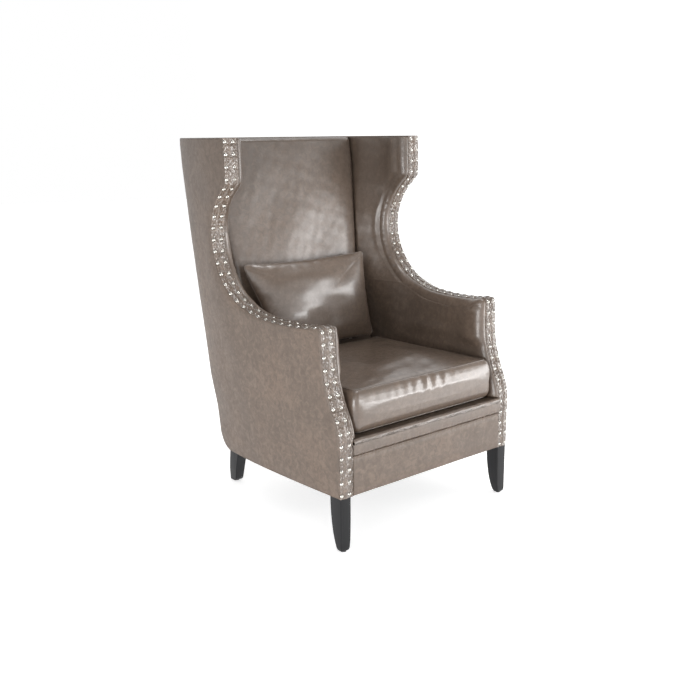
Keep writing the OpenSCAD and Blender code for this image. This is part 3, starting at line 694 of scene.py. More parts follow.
def side_cover(side, name):
    s = np.concatenate([np.linspace(0, 16, 10), np.linspace(20, LENGTH - 14, 300), np.linspace(LENGTH - 10, LENGTH, 6)])
    t = t_at(s)
    e = ep(t)
    front = off(t, 3.2)
    zz = e[:, 2]
    rear = np.stack([rear_line(zz), zz], -1)
    front[:, 1] = np.clip(front[:, 1], LEG_H, TOTAL_H - 0.5)
    front[0, 1] = LEG_H
    front[-1, 1] = rear[-1, 1] = TOTAL_H - 0.5
    whole = np.linalg.norm(rear - front, axis=1)
    ends = CORNER * (1 - np.cos(np.linspace(0, math.pi / 2, 10)))[::-1]
    inner_u = np.concatenate([np.linspace(0, 12, 7), np.linspace(18, 100, 30)]) / 100
    cols = []
    for f in inner_u:
        cols.append(front + (rear - front) * (f * (whole - CORNER) / whole)[:, None])
    for q in ends[1:]:
        cols.append(rear - (rear - front) * (q / whole)[:, None])
    p = np.stack(cols, 1)
    y, z = p[..., 0], p[..., 1]
    d_rear = np.linalg.norm(p - rear[:, None], axis=-1)
    d_front = np.linalg.norm(p - front[:, None], axis=-1)
    base_z = np.interp(y, [0, 586], [165, 147])
    d_low = np.maximum(z - base_z, 0)
    d_top = TOTAL_H - z
    x = out_x(y, z)
    x = x + 1.6 * ss(0, 45, np.minimum(d_rear, d_low)) * ss(0, 30, d_front)
    x = x + 6.0 * bow(z) * (1 - ss(20, 170, d_rear))

    def rounded(d, r):
        q = np.clip(r - d, 0, r)
        return r - np.sqrt(np.maximum(r * r - q * q, 0))
    x = x - rounded(d_rear, CORNER) - rounded(np.where(y > 600, 99, d_low), 5.0) - rounded(d_top, 5.0)
    # leather drawn to the outer row of studs
    near = np.min(np.abs(s[:, None] - NAIL_S), axis=-1)[:, None]
    x = x - 0.55 * np.exp(-(near ** 2 + (d_front - 2) ** 2) / 8.0 ** 2) - 0.4 * np.exp(-((d_front - 1.0) / 2.4) ** 2)
    yz = np.stack([y, z], -1)
    x = x + 0.5 * wav(yz, 150, 31 if side > 0 else 41) * ss(0, 60, np.minimum(d_rear, d_front)) + 0.12 * wav(yz, 38, 33)
    outer = np.stack([x, y, z], -1)
    inner = outer.copy()
    inner[..., 0] -= 3.0
    b = Build()
    b.shell(outer, inner)
    return b.object(name + "_leather", OUTSIDE, "chair", (name,), mirror=side < 0)


def back_half(z):
    return out_x(rear_edge_y(z) - 4, z) - CORNER + 5.0 * bow(z)


def back_cover():
    z = np.concatenate([[147.6, 149.5, 153], np.linspace(157, 205, 14), np.linspace(212, 1120, 100), [1128, 1134, 1138.5, 1141, 1142.4]])
    v = np.concatenate([np.linspace(0, 0.03, 7), np.linspace(0.045, 0.955, 70), np.linspace(0.97, 1.0, 7)]) * 2 - 1
    vv, zz = np.meshgrid(v, z)
    half = back_half(z)
    x = vv * half[:, None]
    d = np.minimum(half[:, None] - np.abs(x), np.minimum(zz - 147, TOTAL_H - zz))
    y = rear_line(zz) - 0.4
    y = y + 2.2 * ss(0, 60, d) * ss(210, 260, zz)
    r = 3.0
    q = np.clip(r - np.minimum(half[:, None] - np.abs(x), np.maximum(TOTAL_H - zz, 0)), 0, r)
    y = y - (r - np.sqrt(np.maximum(r * r - q * q, 0)))
    xz = np.stack([x, zz], -1)
    y = y + 0.7 * wav(xz, 170, 52) * ss(0, 60, d) + 0.35 * np.exp(-d / 14) * wav(np.stack([x * 0.3, zz], -1), 22, 53)
    outer = np.stack([x, y, zz], -1)
    inner = outer.copy()
    inner[..., 1] -= 3.0
    b = Build()
    b.shell(outer, inner)
    return b.object("outside_back_leather", OUTSIDE, "chair", ("outside_back_cover",))


def welts():
    """Cords: between side covers and bands, up the rear corners, across the top, and under the side covers."""
    b = Build()
    for side in (-1, 1):
        s = np.linspace(2, LENGTH - 2, 700)
        t = t_at(s)
        q = off(t, 4.0 + 0.2 * wav(s[:, None], 40, 77))
        x = out_x(q[:, 0], q[:, 1]) + 0.7
        b.tube(np.stack([x * side, q[:, 0], q[:, 1]], -1), 1.7, 8)
        z = np.concatenate([np.linspace(149, 205, 26), np.linspace(212, 1140, 170)])
        b.tube(np.stack([(back_half(z) + 0.5) * side, rear_line(z) - 0.2, z], -1), 2.4, 10)
        y = np.linspace(6, 587, 160)
        zl = np.interp(y, [0, 586], [165, 147]) + 1.2
        b.tube(np.stack([(out_x(y, zl) - 2.2) * side, y, zl], -1), 2.1, 8)
    x = np.linspace(-322, 322, 120)
    b.tube(np.stack([x, np.full_like(x, rear_edge_y(TOTAL_H) - 1.8), np.full_like(x, TOTAL_H - 2.4)], -1), 2.4, 10)
    b.object("cover_welts", OUTSIDE, "chair")
    for side, tag in ((-1, "left"), (1, "right")):
        y = np.linspace(478, rear_edge_y(TOTAL_H) - 16, 300)
        z = np.full_like(y, TOTAL_H - 7.5)
        path = np.stack([(out_x(y, z) + 0.2) * side, y, z], -1)
        o = stitches("top_stitches_" + tag, path, [side, 0, 0], 4.4, 3.0, 0.55, "chair", 0.4)


# ------------------------------------------------------------------ inside pads
def roll_depth(t):
    """How far back the rolled front edge of a pad turns into its inside face."""
    return 31 + 5 * ss(8, 10, t) * (1 - ss(12, 15, t)) - 9 * ss(15, 19, t) + 8 * ss(26, 29, t)


def roll_curve(t):
    """Line on which the roll ends, drawn round inside the arm's top corner."""
    q = off(t, roll_depth(t))
    a, b = 10.6, 15.2
    pa, pb = off(np.array(a), roll_depth(a)), off(np.array(b), roll_depth(b))
    c = np.array([pa[0] + 1.0, pb[1] - 1.0])
    f = np.clip((t - a) / (b - a), 0, 1)[:, None]
    f = 0.5 * f + 0.5 * ss(0, 1, f)
    bez = pa * (1 - f) ** 2 + 2 * c * f * (1 - f) + pb * f ** 2
    inside = ((t > a) & (t < b))[:, None]
    return np.where(inside, bez, q)


def arm_bulge(y, z):
    arm = ss(478, 520, z) * (1 - ss(596, 650, z)) * (4 + 12 * np.exp(-((y - 112) / 52) ** 2)) * (1 - ss(330, 430, y))
    wing = 15.0 * ss(935, 1065, z) * np.exp(-((y - front_y(z) - 46) / 44) ** 2)
    return arm + wing


def side_pad(side, name):
    s0 = np.interp(3.75, T_FINE, S_FINE)
    s = np.linspace(s0, LENGTH, 330)
    t = t_at(s)
    e = ep(t)
    edge = e[:, :2]
    end = roll_curve(t)
    foot, top = 334.0, TOTAL_H - 3.5
    z375 = float(ep(np.array(3.75))[2])
    zr = foot + (e[:, 2] - z375) * (top - foot) / (TOTAL_H - z375)
    rear = np.stack([rear_y(zr) - 84, zr], -1)
    xo = out_x(edge[:, 0], edge[:, 1])
    seed = 61 if side > 0 else 71
    cols = []
    # behind the band's inner edge, then round the roll
    cols.append(np.stack([xo - 44.5, *(edge + inward(t) * 8).T], -1))
    cols.append(np.stack([xo - 45.6, *(edge + inward(t) * 3).T], -1))
    xe = in_x(end[:, 0], end[:, 1]) - arm_bulge(end[:, 0], end[:, 1])
    reach = xo - 46.4 - xe
    for k in range(13):
        ph = math.pi / 2 * k / 12
        f = (1 - math.cos(ph)) ** 0.94
        m = edge + (end - edge) * f - inward(t) * 1.2 * math.sin(ph * 2) ** 1.0
        x = xo - 46.4 - reach * math.sin(ph) ** 0.92
        cols.append(np.stack([x, m[:, 0], m[:, 1]], -1))
    u = np.concatenate([np.linspace(0, 0.22, 15)[1:], np.linspace(0.25, 0.94, 34), np.linspace(0.96, 1.0, 5)])
    for uk in u:
        m = end * (1 - uk) + rear * uk
        x = in_x(m[:, 0], m[:, 1]) - arm_bulge(m[:, 0], m[:, 1])
        d = np.linalg.norm(m - edge, axis=1)
        scoop = ss(20.6, 22.6, t) * (1 - ss(24.4, 26.2, t))
        x = x - scoop * (2.6 * np.exp(-((d - 33) / 11) ** 2))
        soft = ss(0, 0.12, uk) * (1 - ss(0.75, 0.95, uk)) * ss(470, 530, m[:, 1])
        x = x - soft * (2.5 + 1.1 * wav(m, 120, seed)) - 0.25 * wav(m, 34, seed + 1) * ss(0, 0.1, uk)
        cols.append(np.stack([x, m[:, 0], m[:, 1]], -1))
    g = np.stack(cols, 1)
    # small gathers where the leather turns over the rolled edge in the scoop
    d = np.arange(g.shape[1])
    gather = np.exp(-((d - 9) / 5.0) ** 2)[None, :] * (0.25 + 0.55 * (ss(19, 21, t) * (1 - ss(25.5, 27, t)))[:, None])
    g[..., 0] -= gather * wav(np.stack(np.broadcast_arrays(s[:, None], (d * 0.6)[None, :]), -1), 13, seed + 3) * 0.9
    g[..., 2] = np.clip(g[..., 2], foot, top)
    g[-1, :, 2] = top
    back = g.copy()
    lim = out_x(g[..., 1], g[..., 2]) - BAND_W - 0.8
    lim = np.where(g[..., 2] < 610, np.minimum(lim, 303 + np.maximum(0, g[..., 1] - 122) * 0.5), lim)
    back[..., 0] = np.maximum(lim, g[..., 0] + 2.0)
    back[:, :6, 0] = g[:, :6, 0] + 2.0
    b = Build()
    b.shell(g, back)
    ob = b.object(name + "_leather", INSIDE, "chair", (name,), mirror=side < 0)
    return ob


def back_pad():
    foot, top = 322.0, TOTAL_H - 3.0
    v = np.concatenate([np.linspace(0, 0.03, 6), np.linspace(0.04, 0.97, 120), np.linspace(0.975, 1.0, 16)])
    u = np.concatenate([np.linspace(-1, -0.88, 16), np.linspace(-0.86, 0.86, 72), np.linspace(0.88, 1, 16)])
    uu, vv = np.meshgrid(u, v)
    z = foot + (top - foot) * vv
    half = seam_x(z) + 0.6
    x = uu * half
    y = seam_y(z) - (BACK_CROWN + 2) * (1 - np.abs(uu - 0.24 * (1 - uu * uu)) ** 2.6) * ss(0, 0.06, vv)
    ds = half - np.abs(x)
    r = 30.0
    q = np.clip(r - ds, 0, r)
    y = y + (r - np.sqrt(r * r - q * q)) * 0.95
    dt = top - z
    r = 13.0
    q = np.clip(r - dt, 0, r)
    y = y + (r - np.sqrt(np.maximum(r * r - q * q, 0))) * 0.95
    xz = np.stack([x, z], -1)
    y = y + 1.0 * wav(xz, 190, 83) * ss(0, 60, ds) + 0.25 * wav(xz, 45, 84)
    # faint pulls running in from the side seams
    y = y + 0.5 * np.exp(-ds / 26) * wav(np.stack([x * 0.25, z], -1), 26, 85)
    y = np.minimum(y, rear_y(z) - 84)
    face = np.stack([x, y, z], -1)
    back = face.copy()
    back[..., 1] = rear_y(z) - 82
    b = Build()
    b.shell(face, back)
    ob = b.object("inside_back_leather", INSIDE, "chair", ("inside_back_pad",))
    return ob


def top_cap():
    """Leather cap over the wings and the back, its edges rolled."""
    top = TOTAL_H
    ys = np.linspace(476, rear_edge_y(top) - 5, 40)
    outer = np.stack([out_x(ys, top) - 1.6, ys], -1)
    yi = np.linspace(476, seam_y(top) + 10, 30)
    inner = np.stack([in_x(yi, top) + 3.0, yi], -1)[::-1]
    right_half = np.concatenate([inner, outer])
    loop = np.concatenate([right_half, (right_half * [-1, 1])[::-1]])
    bm = bmesh.new()
    vs = [bm.verts.new(W([x, y, top - 4.6])) for x, y in loop]
    f = bm.faces.new(vs)
    ext = bmesh.ops.extrude_face_region(bm, geom=[f])
    up_verts = [g for g in ext["geom"] if isinstance(g, bmesh.types.BMVert)]
    for vtx in up_verts:
        vtx.co.z += 0.0046
    bm.normal_update()
    rim = [e for e in bm.edges if all(abs(vv.co.z - top * 0.001) < 1e-5 for vv in e.verts)]
    bmesh.ops.bevel(bm, geom=rim, offset=0.003, segments=4, profile=0.5, affect="EDGES")
    bmesh.ops.triangulate(bm, faces=[q for q in bm.faces if len(q.verts) > 4])
    bmesh.ops.recalc_face_normals(bm, faces=bm.faces)
    me = bpy.data.meshes.new("top_cap")
    bm.to_mesh(me)
    bm.free()
    me.polygons.foreach_set("use_smooth", [True] * len(me.polygons))
    ob = bpy.data.objects.new("top_cap_leather", me)
    bpy.context.scene.collection.objects.link(ob)
    crease(ob, 40)
    return settle(ob, OUTSIDE, "chair", ("top_cover",))


# ------------------------------------------------------------------ front rail
def smooth_profile(points, n):
    """Points spread evenly on a Catmull-Rom line through the given points."""
    p = np.array(points, float)
    q = np.concatenate([2 * p[:1] - p[1:2], p, 2 * p[-1:] - p[-2:-1]])
    out = []
    for i in range(len(p) - 1):
        a, b, c, d = q[i], q[i + 1], q[i + 2], q[i + 3]
        for f in np.linspace(0, 1, 24, endpoint=False):
            out.append(0.5 * (2 * b + (c - a) * f + (2 * a - 5 * b + 4 * c - d) * f * f + (3 * b - a - 3 * c + d) * f ** 3))
    out.append(p[-1])
    out = np.array(out)
    s = np.concatenate([[0], np.cumsum(np.linalg.norm(np.diff(out, axis=0), axis=1))])
    k = np.linspace(0, s[-1], n)
    return np.stack([np.interp(k, s, out[:, 0]), np.interp(k, s, out[:, 1])], -1)


def border_roll():
    prof = smooth_profile([(2, 119.6), (-3, 118.9), (-7.5, 119.9), (-11, 123.5), (-13.0, 129), (-13.6, 139), (-13.6, 150),
                           (-12.9, 158), (-11.0, 163), (-7.5, 165.7), (-2.5, 165.9), (3, 164.8), (12, 164.6), (30, 165.2)], 64)
    x = np.linspace(-1, 1, 420)
    xx, k = np.meshgrid(x, np.arange(len(prof)))
    y, z = prof[k.astype(int), 0], prof[k.astype(int), 1]
    xx = xx * (out_x(0, LEG_H + z) - BAND_W + 1.2)
    d_seam = np.abs(z - 118.5)
    xs = np.stack([xx, z * 0.5], -1)
    y = y - (0.9 * wav(xs, 15, 101) * np.exp(-d_seam / 7) + 0.45 * wav(np.stack([xx, z], -1), 90, 102))
    z = z + 0.45 * wav(xs, 13, 103) * np.exp(-d_seam / 5) + 0.4 * wav(np.stack([xx, y], -1), 60, 104) * ss(150, 163, z)
    face = seat(np.stack([xx, y, z], -1)).transpose(1, 0, 2)
    core = seat(np.stack([xx, np.maximum(y, 8) * 0 + np.where(z > 150, y, 10), np.where(z > 160, z - 6, z)], -1)).transpose(1, 0, 2)
    b = Build()
    b.shell(face, core)
    ob = b.object("front_border_leather", INSIDE, "chair", ("front_border_roll",))
    return ob


def apron():
    z = np.concatenate([[0.2, 0.8, 2.2, 4.5], np.linspace(8, 106, 30), [108.5, 110.5, 112, 113.2, 114.2, 115.2, 116.2, 117.2, 118.2, 119.4]])
    x = np.linspace(-1, 1, 420)
    xx, zz = np.meshgrid(x, z)
    xx = xx * (out_x(0, LEG_H + zz) - BAND_W + 1.2)
    y = -3.6 - 2.2 * ss(0, 30, zz) * (1 - ss(96, 118, zz))
    q = np.clip(3.5 - zz, 0, 3.5)
    y = y + 3.5 - np.sqrt(3.5 ** 2 - q * q)
    y = y - 3.0 * np.exp(-((zz - 114.8) / 2.6) ** 2)
    y = y + 3.4 * ss(116.2, 119.4, zz)
    y = y - 0.7 * wav(np.stack([xx, zz * 0.3], -1), 13, 111) * np.exp(-(119 - zz) / 9) - 0.4 * wav(np.stack([xx, zz], -1), 110, 112)
    y = y - 0.35 * wav(np.stack([xx, zz * 0.15], -1), 42, 113) * ss(40, 110, zz)
    face = seat(np.stack([xx, y, zz], -1))
    back = seat(np.stack([xx, np.full_like(y, 4.0), zz], -1))
    b = Build()
    b.shell(face, back)
    return b.object("front_apron_leather", OUTSIDE, "chair", ("front_apron",))


def stitches(name, path, normal, length=3.6, gap=1.6, r=0.42, body="chair", lift=0.25):
    """A row of short threads lying along a line."""
    path = np.asarray(path, float)
    s = np.concatenate([[0], np.cumsum(np.linalg.norm(np.diff(path, axis=0), axis=1))])
    b = Build()
    k = 0.0
    normal = np.asarray(normal, float)
    while k + length < s[-1]:
        q = np.linspace(k, k + length, 4)
        p = np.stack([np.interp(q, s, path[:, i]) for i in range(3)], -1)
        if normal.ndim == 1:
            n = np.broadcast_to(normal, p.shape)
        else:
            n = np.stack([np.interp(q, s, normal[:, i]) for i in range(3)], -1)
        arch = np.array([-0.35, lift, lift, -0.35])[:, None]
        b.tube(p + n * arch, r, 6)
        k += length + gap
    return b.object(name, THREAD, body)


# ------------------------------------------------------------------ legs
def leg(front, side, name):
    if front:
        back = smooth_profile([(50, 165), (49, 130), (46.5, 100), (43, 75), (38, 50), (32, 30), (26, 14), (22, 6), (19.5, 3)], 60)
        ahead = [(1, 165), (1, 12), (1.6, 7), (3.4, 3)]
        outer = [(343.5, 165), (343.5, 14), (342, 7), (338.8, 3)]
        inner = [(305.5, 165), (306.4, 80), (308, 34), (310.5, 12), (314, 3)]
        zs = np.concatenate([np.linspace(3, 12, 8), np.linspace(16, 165.4, 44)])
    else:
        back = smooth_profile([(630, 176), (646, 150), (656, 110), (664, 80), (671, 50), (677, 20), (680, 3)], 60)
        ahead = smooth_profile([(590, 176), (597, 140), (606, 110), (618, 80), (629, 48), (637, 26), (643, 12), (652, 3)], 60)
        outer = [(303, 176), (301, 110), (296, 50), (289, 3)]
        inner = [(264, 176), (262, 80), (259, 3)]
        zs = np.concatenate([np.linspace(3, 10, 7), np.linspace(14, 156.5, 42), np.linspace(157.2, 169, 8)])
    line = lambda q, z: np.interp(z, np.array(q)[::-1, 1], np.array(q)[::-1, 0])
    n, seg = len(zs), 6
    rings = []
    for z in zs:
        y0, y1, x0, x1 = line(ahead, z), line(back, z), line(inner, z), line(outer, z)
        if z > 157 and not front:
            y0 = max(y0, float(rear_edge_y(z)) - 9)
        r = 3.4
        e = max(0.0, 2.4 - (z - 3)) if z < 5.4 else 0.0
        inset = 2.4 - math.sqrt(max(2.4 ** 2 - e * e, 0))
        x0, x1, y0, y1 = x0 + inset, x1 - inset, y0 + inset, y1 - inset
        ring = []
        for cx, cy, a0 in ((x1 - r, y0 + r, -90), (x1 - r, y1 - r, 0), (x0 + r, y1 - r, 90), (x0 + r, y0 + r, 180)):
            for k in range(seg + 1):
                a = math.radians(a0 + 90 * k / seg)
                ring.append((cx + r * math.cos(a), cy + r * math.sin(a), z))
        rings.append(ring)
    b = Build()
    b.rings(np.array(rings))
    ob = b.object(name + "_turned", LEG_WOOD, "chair", (name,), mirror=side < 0)
    crease(ob, 50)
    return ob


# ------------------------------------------------------------------ cloth
def inflate(ob, pressure, frames, cap, pins=None, stiff=14.0, bend=0.4, shrink=None, mass=0.25, seed_shape=None):
    """Cloth under pressure, applied, with no point moved further than the cap. Returns the new coordinates."""
    before = np.array([v.co for v in ob.data.vertices])
    md = ob.modifiers.new("cloth", "CLOTH")
    c = md.settings
    c.quality = 6
    c.mass = mass
    c.tension_stiffness = c.compression_stiffness = stiff
    c.shear_stiffness = stiff * 0.4
    c.bending_stiffness = bend
    c.tension_damping = c.compression_damping = c.shear_damping = 6
    c.air_damping = 3
    c.use_pressure = True
    c.uniform_pressure_force = pressure
    c.effector_weights.gravity = 0
    if pins is not None:
        vg = ob.vertex_groups.new(name="pins")
        for w in np.unique(np.round(pins, 2)):
            if w > 0:
                vg.add(np.where(np.round(pins, 2) == w)[0].tolist(), float(w), "REPLACE")
        c.vertex_group_mass = "pins"
        c.pin_stiffness = 1.0
    if shrink is not None:
        vs = ob.vertex_groups.new(name="shrink")
        top = float(shrink.max())
        q = np.round(shrink / top, 2)
        for w in np.unique(q):
            if w > 0:
                vs.add(np.where(q == w)[0].tolist(), float(w), "REPLACE")
        c.vertex_group_shrink = "shrink"
        c.shrink_min = 0.0
        c.shrink_max = top
    md.collision_settings.use_collision = False
    scene = bpy.context.scene
    scene.frame_start, scene.frame_end = 1, frames
    md.point_cache.frame_start, md.point_cache.frame_end = 1, frames
    for f in range(1, frames + 1):
        scene.frame_set(f)
    dg = bpy.context.evaluated_depsgraph_get()
    ev = ob.evaluated_get(dg).data
    after = np.empty(len(before) * 3, np.float32)
    ev.vertices.foreach_get("co", after)
    after = after.reshape(-1, 3).astype(float)
    ob.modifiers.remove(md)
    for g in list(ob.vertex_groups):
        ob.vertex_groups.remove(g)
    scene.frame_set(1)
    if not np.isfinite(after).all():
        return before
    move = after - before
    dist = np.linalg.norm(move, axis=1, keepdims=True)
    soft = cap * np.tanh(dist / cap)
    return before + move * soft / np.maximum(dist, 1e-9)


def ring_point(p, q, A, B, R):
    """Square (p, q) in -1..1 to a rounded rectangle's rings, evenly spread along each side."""
    r = np.maximum(np.abs(p), np.abs(q))
    on_x = np.abs(p) >= np.abs(q)
    s = np.where(on_x, q, p) / np.maximum(r, 1e-9)
    big = np.where(on_x, A, B)     # half size across
    half = np.where(on_x, B, A)    # half size along
    arc = R * math.pi / 4
    l = np.abs(s) * (half - R + arc)
    th = np.clip((l - (half - R)) / R, 0, math.pi / 4)
    along = np.where(l <= half - R, l, half - R + R * np.sin(th)) * np.sign(s)
    across = np.where(l <= half - R, big, big - R + R * np.cos(th))
    x = np.where(on_x, across * np.sign(p), along)
    y = np.where(on_x, along, across * np.sign(q))
    return x * r, y * r


def square_rim(n):
    """Grid positions of the n by n square's edge, in order."""
    top = [(i, 0) for i in range(n - 1)]
    rgt = [(n - 1, j) for j in range(n - 1)]
    bot = [(i, n - 1) for i in range(n - 1, 0, -1)]
    lft = [(0, j) for j in range(n - 1, 0, -1)]
    return top + rgt + bot + lft


CUSH_A, CUSH_B = 279.5, 271.5
SEAM_TOP, SEAM_LOW = 126.0, 5.0
CUSH_TOP = ([0, 5, 12, 24, 41, 96, 151, 400], [0, 2.4, 5.2, 8.6, 11.4, 17.3, 20.0, 20.0])


def cushion_mesh(n=86, m=20, swell=1.0, inset=0.0):
    """Box cushion in its own frame (seat frame less its middle and foot): points, faces, and the seams' points."""
    g = np.linspace(-1, 1, n)
    g = np.sign(g) * (1 - (1 - np.abs(g)) ** 1.12)
    P, Q = np.meshgrid(g, g, indexing="ij")
    R = 15.0
    A, B = CUSH_A - inset, CUSH_B - inset
    px, py = ring_point(P, Q, A, B, R)
    r = np.maximum(np.abs(P), np.abs(Q))
    seam_in = 14.0
    kx, ky = (A - seam_in) / A, (B - seam_in) / B
    d = (1 - r) * (B - seam_in)
    side_d = [(1 - np.abs(q)) * (h - seam_in) for q, h in ((P, A), (Q, B))]
    rise = np.interp(side_d[0], *CUSH_TOP) * np.interp(side_d[1], *CUSH_TOP) / CUSH_TOP[1][-1]
    rise = rise + 5.0 * ss(-20, 230, py) * ss(0, 40, d)
    z_top = SEAM_TOP + rise * swell - inset
    top = np.stack([px * kx, py * ky, z_top], -1)
    low = np.stack([px * kx, py * ky, np.full_like(px, SEAM_LOW) + inset - 4.5 * ss(0, 16, d)], -1)
    rim = square_rim(n)
    ri = np.array(rim)
    rx, ry = px[ri[:, 0], ri[:, 1]], py[ri[:, 0], ri[:, 1]]
    verts = [top.reshape(-1, 3), low.reshape(-1, 3)]
    faces = []
    idx = lambda i, j: i * n + j
    for i in range(n - 1):
        for j in range(n - 1):
            faces.append([idx(i, j), idx(i + 1, j), idx(i + 1, j + 1), idx(i, j + 1)])
            faces.append([n * n + idx(i, j), n * n + idx(i, j + 1), n * n + idx(i + 1, j + 1), n * n + idx(i + 1, j)])
    prof_z = np.array([0, 3, 9, 19, 34, 52, 66, 84, 100, 110, 117, 121]) / 121
    prof_i = np.array([14, 8.6, 4.4, 1.6, 0.2, -0.6, -0.9, -0.3, 1.6, 4.6, 9.0, 14])
    k = np.arange(1, m) / m
    kk = np.interp(k, np.concatenate([[0], np.cumsum(np.hypot(np.diff(prof_z * 121), np.diff(prof_i)))]) /
                   np.sum(np.hypot(np.diff(prof_z * 121), np.diff(prof_i))), prof_z)
    base = 2 * n * n
    M = len(rim)
    height = SEAM_TOP - SEAM_LOW - 2 * inset
    for q in range(m - 1):
        zi = SEAM_LOW + inset + kk[q] * height
        ins = np.interp(kk[q], prof_z, prof_i)
        verts.append(np.stack([rx * (A - ins) / A, ry * (B - ins) / B, np.full(M, zi)], -1))
    row = lambda q: [n * n + idx(*c) for c in rim] if q < 0 else ([idx(*c) for c in rim] if q >= m - 1 else [base + q * M + c for c in range(M)])
    for q in range(-1, m - 1):
        a, b = row(q), row(q + 1)
        for c in range(M):
            d2 = (c + 1) % M
            faces.append([a[c], a[d2], b[d2], b[c]])
    return np.concatenate(verts), faces, np.array([idx(*c) for c in rim]), np.array([n * n + idx(*c) for c in rim])


def cushion_place(p):
    return W(seat(np.asarray(p, float) + [0, 4 + 273, 167.2]))


def subdivided(ob):
    bm = bmesh.new()
    bm.from_mesh(ob.data)
    bmesh.ops.subdivide_edges(bm, edges=bm.edges, cuts=1, smooth=0.8, use_grid_fill=True)
    bm.to_mesh(ob.data)
    bm.free()
    ob.data.polygons.foreach_set("use_smooth", [True] * len(ob.data.polygons))


def set_points(ob, pts):
    ob.data.vertices.foreach_set("co", np.asarray(pts, np.float32).reshape(-1))
    ob.data.update()


def seat_cushion():
    pts, faces, seam_a, seam_b = cushion_mesh(swell=0.8)
    n = len(pts)
    local = new_object("seat_cushion_work", pts * 0.001, faces)
    low = pts[:, 2] < 2.0
    pins = np.zeros(n)
    pins[seam_a] = 1
    pins[seam_b] = 1
    pins[low] = 1
    pins[pts[:, 1] > 268] = 1
    moved = inflate(local, PRESSURE_SEAT, 20, 0.024, pins, shrink=None) * 1000
    d = relaxed(moved - pts, faces, 6)
    # seams gathered a little as well: small tucks that die out over 40 mm
    rim = pts[seam_a]
    ang = np.arctan2(pts[:, 1], pts[:, 0])
    side = (pts[:, 2] > SEAM_LOW + 1) & (pts[:, 2] < SEAM_TOP - 0.5)
    arc = np.where(np.abs(pts[:, 0]) / CUSH_A > np.abs(pts[:, 1]) / CUSH_B, pts[:, 1], pts[:, 0])
    line = np.stack([arc, pts[:, 2] * 0.10], -1)
    below = SEAM_TOP - pts[:, 2]
    where = 0.05 + 0.95 * np.exp(-((arc - 5) / 72) ** 2)
    amp = 2.3 * np.exp(-(below / 38) ** 2) * where + 0.05
    tuck = (0.75 * np.sin((arc + 0.15 * below + 5 * wav(line, 90, 204)) / 37.0 * 2 * math.pi + 0.9) + 0.3 * wav(line, 55, 202)) * amp * side
    out = np.stack([pts[:, 0] / CUSH_A, pts[:, 1] / CUSH_B], -1)
    nx = np.where(np.abs(out[:, 0]) > np.abs(out[:, 1]), np.sign(out[:, 0]), 0)
    ny = np.where(nx == 0, np.sign(out[:, 1]), 0)
    new = pts + d
    new[:, 0] += nx * tuck
    new[:, 1] += ny * tuck
    top = pts[:, 2] > SEAM_TOP + 0.01
    dist = np.minimum(CUSH_A - 14 - np.abs(pts[:, 0]), CUSH_B - 14 - np.abs(pts[:, 1]))
    new[:, 2] += top * (1.5 * wav(pts[:, :2], 210, 203) * ss(0, 90, dist) + 0.45 * wav(pts[:, :2], 60, 205) * ss(4, 40, dist)
                        - (0.2 + 0.6 * where) * wav(np.stack([arc, dist * 0.2], -1), 24, 207) * np.exp(-dist / 16) * ss(0, 4, dist))
    new[:, 2] -= top * 2.0 * np.exp(-(dist / 7) ** 2)
    # stay in the space between the arms, the back and the deck
    lim_x, lim_y = 283.0, 273.0
    new[:, 0] = np.clip(new[:, 0], -lim_x, lim_x)
    new[:, 1] = np.clip(new[:, 1], -lim_y - 3.0, lim_y - 0.5)
    crown = np.interp(dist, *CUSH_TOP) + SEAM_TOP + 2.5
    new[:, 2] = np.where(top, np.minimum(new[:, 2], crown), np.clip(new[:, 2], 0.1, 200))
    set_points(local, cushion_place(new))
    local.name = "seat_cushion_leather"
    seam = [new[np.append(s, s[0])] for s in (seam_a, seam_b)]
    subdivided(local)
    settle(local, PLUMP, "seat_cushion", ("seat_cushion_cover",))
    # sewn edges: the two panels' folded edges stand up as a thin line beside the stitches
    b = Build()
    for k, s in enumerate(seam):
        s = s.copy()
        c = np.array([0, 0, 60.0])
        dirn = (s - c) * [1, 1, 0]
        dirn /= np.linalg.norm(dirn, axis=1, keepdims=True)
        s = s + dirn * 0.4 + [0, 0, 0.5 if k == 0 else -0.2]
        s[:, 1] = np.minimum(s[:, 1], 272.6)
        b.tube(cushion_place(s)[:-1] * 1000, 1.15, 8, closed=True)
    b.object("seat_cushion_seams", PLUMP, "seat_cushion", place=lambda v: v * 0.001)
    s = seam[0].copy()
    dirn = (s - [0, 0, 60]) * [1, 1, 0]
    dirn /= np.linalg.norm(dirn, axis=1, keepdims=True)
    s = s - dirn * 3.2 + [0, 0, 1.3]
    o = stitches("seat_cushion_stitches", cushion_place(s) * 1000 - [0, Y_SHIFT, 0], [0, 0, 1], 4.2, 2.2, 0.45, "seat_cushion", 0.35)
    # foam core under the leather
    pts, faces, *_ = cushion_mesh(n=34, m=8, swell=0.9, inset=9.0)
    r = wav(pts, 60, 211)[:, None] * 0.6
    core = new_object("seat_cushion_foam", cushion_place(pts + r * [0.3, 0.3, 1]), faces)
    settle(core, FOAM, "seat_cushion", ("seat_cushion_core",))


def relaxed(move, faces, times):
    """A movement evened out over the mesh, so that it keeps its swell and loses its sharp folds."""
    f = np.array(faces)
    a = np.concatenate([f[:, k] for k in range(4)])
    b = np.concatenate([f[:, (k + 1) % 4] for k in range(4)])
    i, j = np.concatenate([a, b]), np.concatenate([b, a])
    count = np.bincount(i, minlength=len(move))[:, None]
    fixed = np.linalg.norm(move, axis=1, keepdims=True) < 1e-6
    out = move.copy()
    for _ in range(times):
        near = np.stack([np.bincount(i, out[j, k], minlength=len(out)) for k in range(3)], -1) / count
        out = np.where(fixed, move, 0.4 * out + 0.6 * near)
    return out


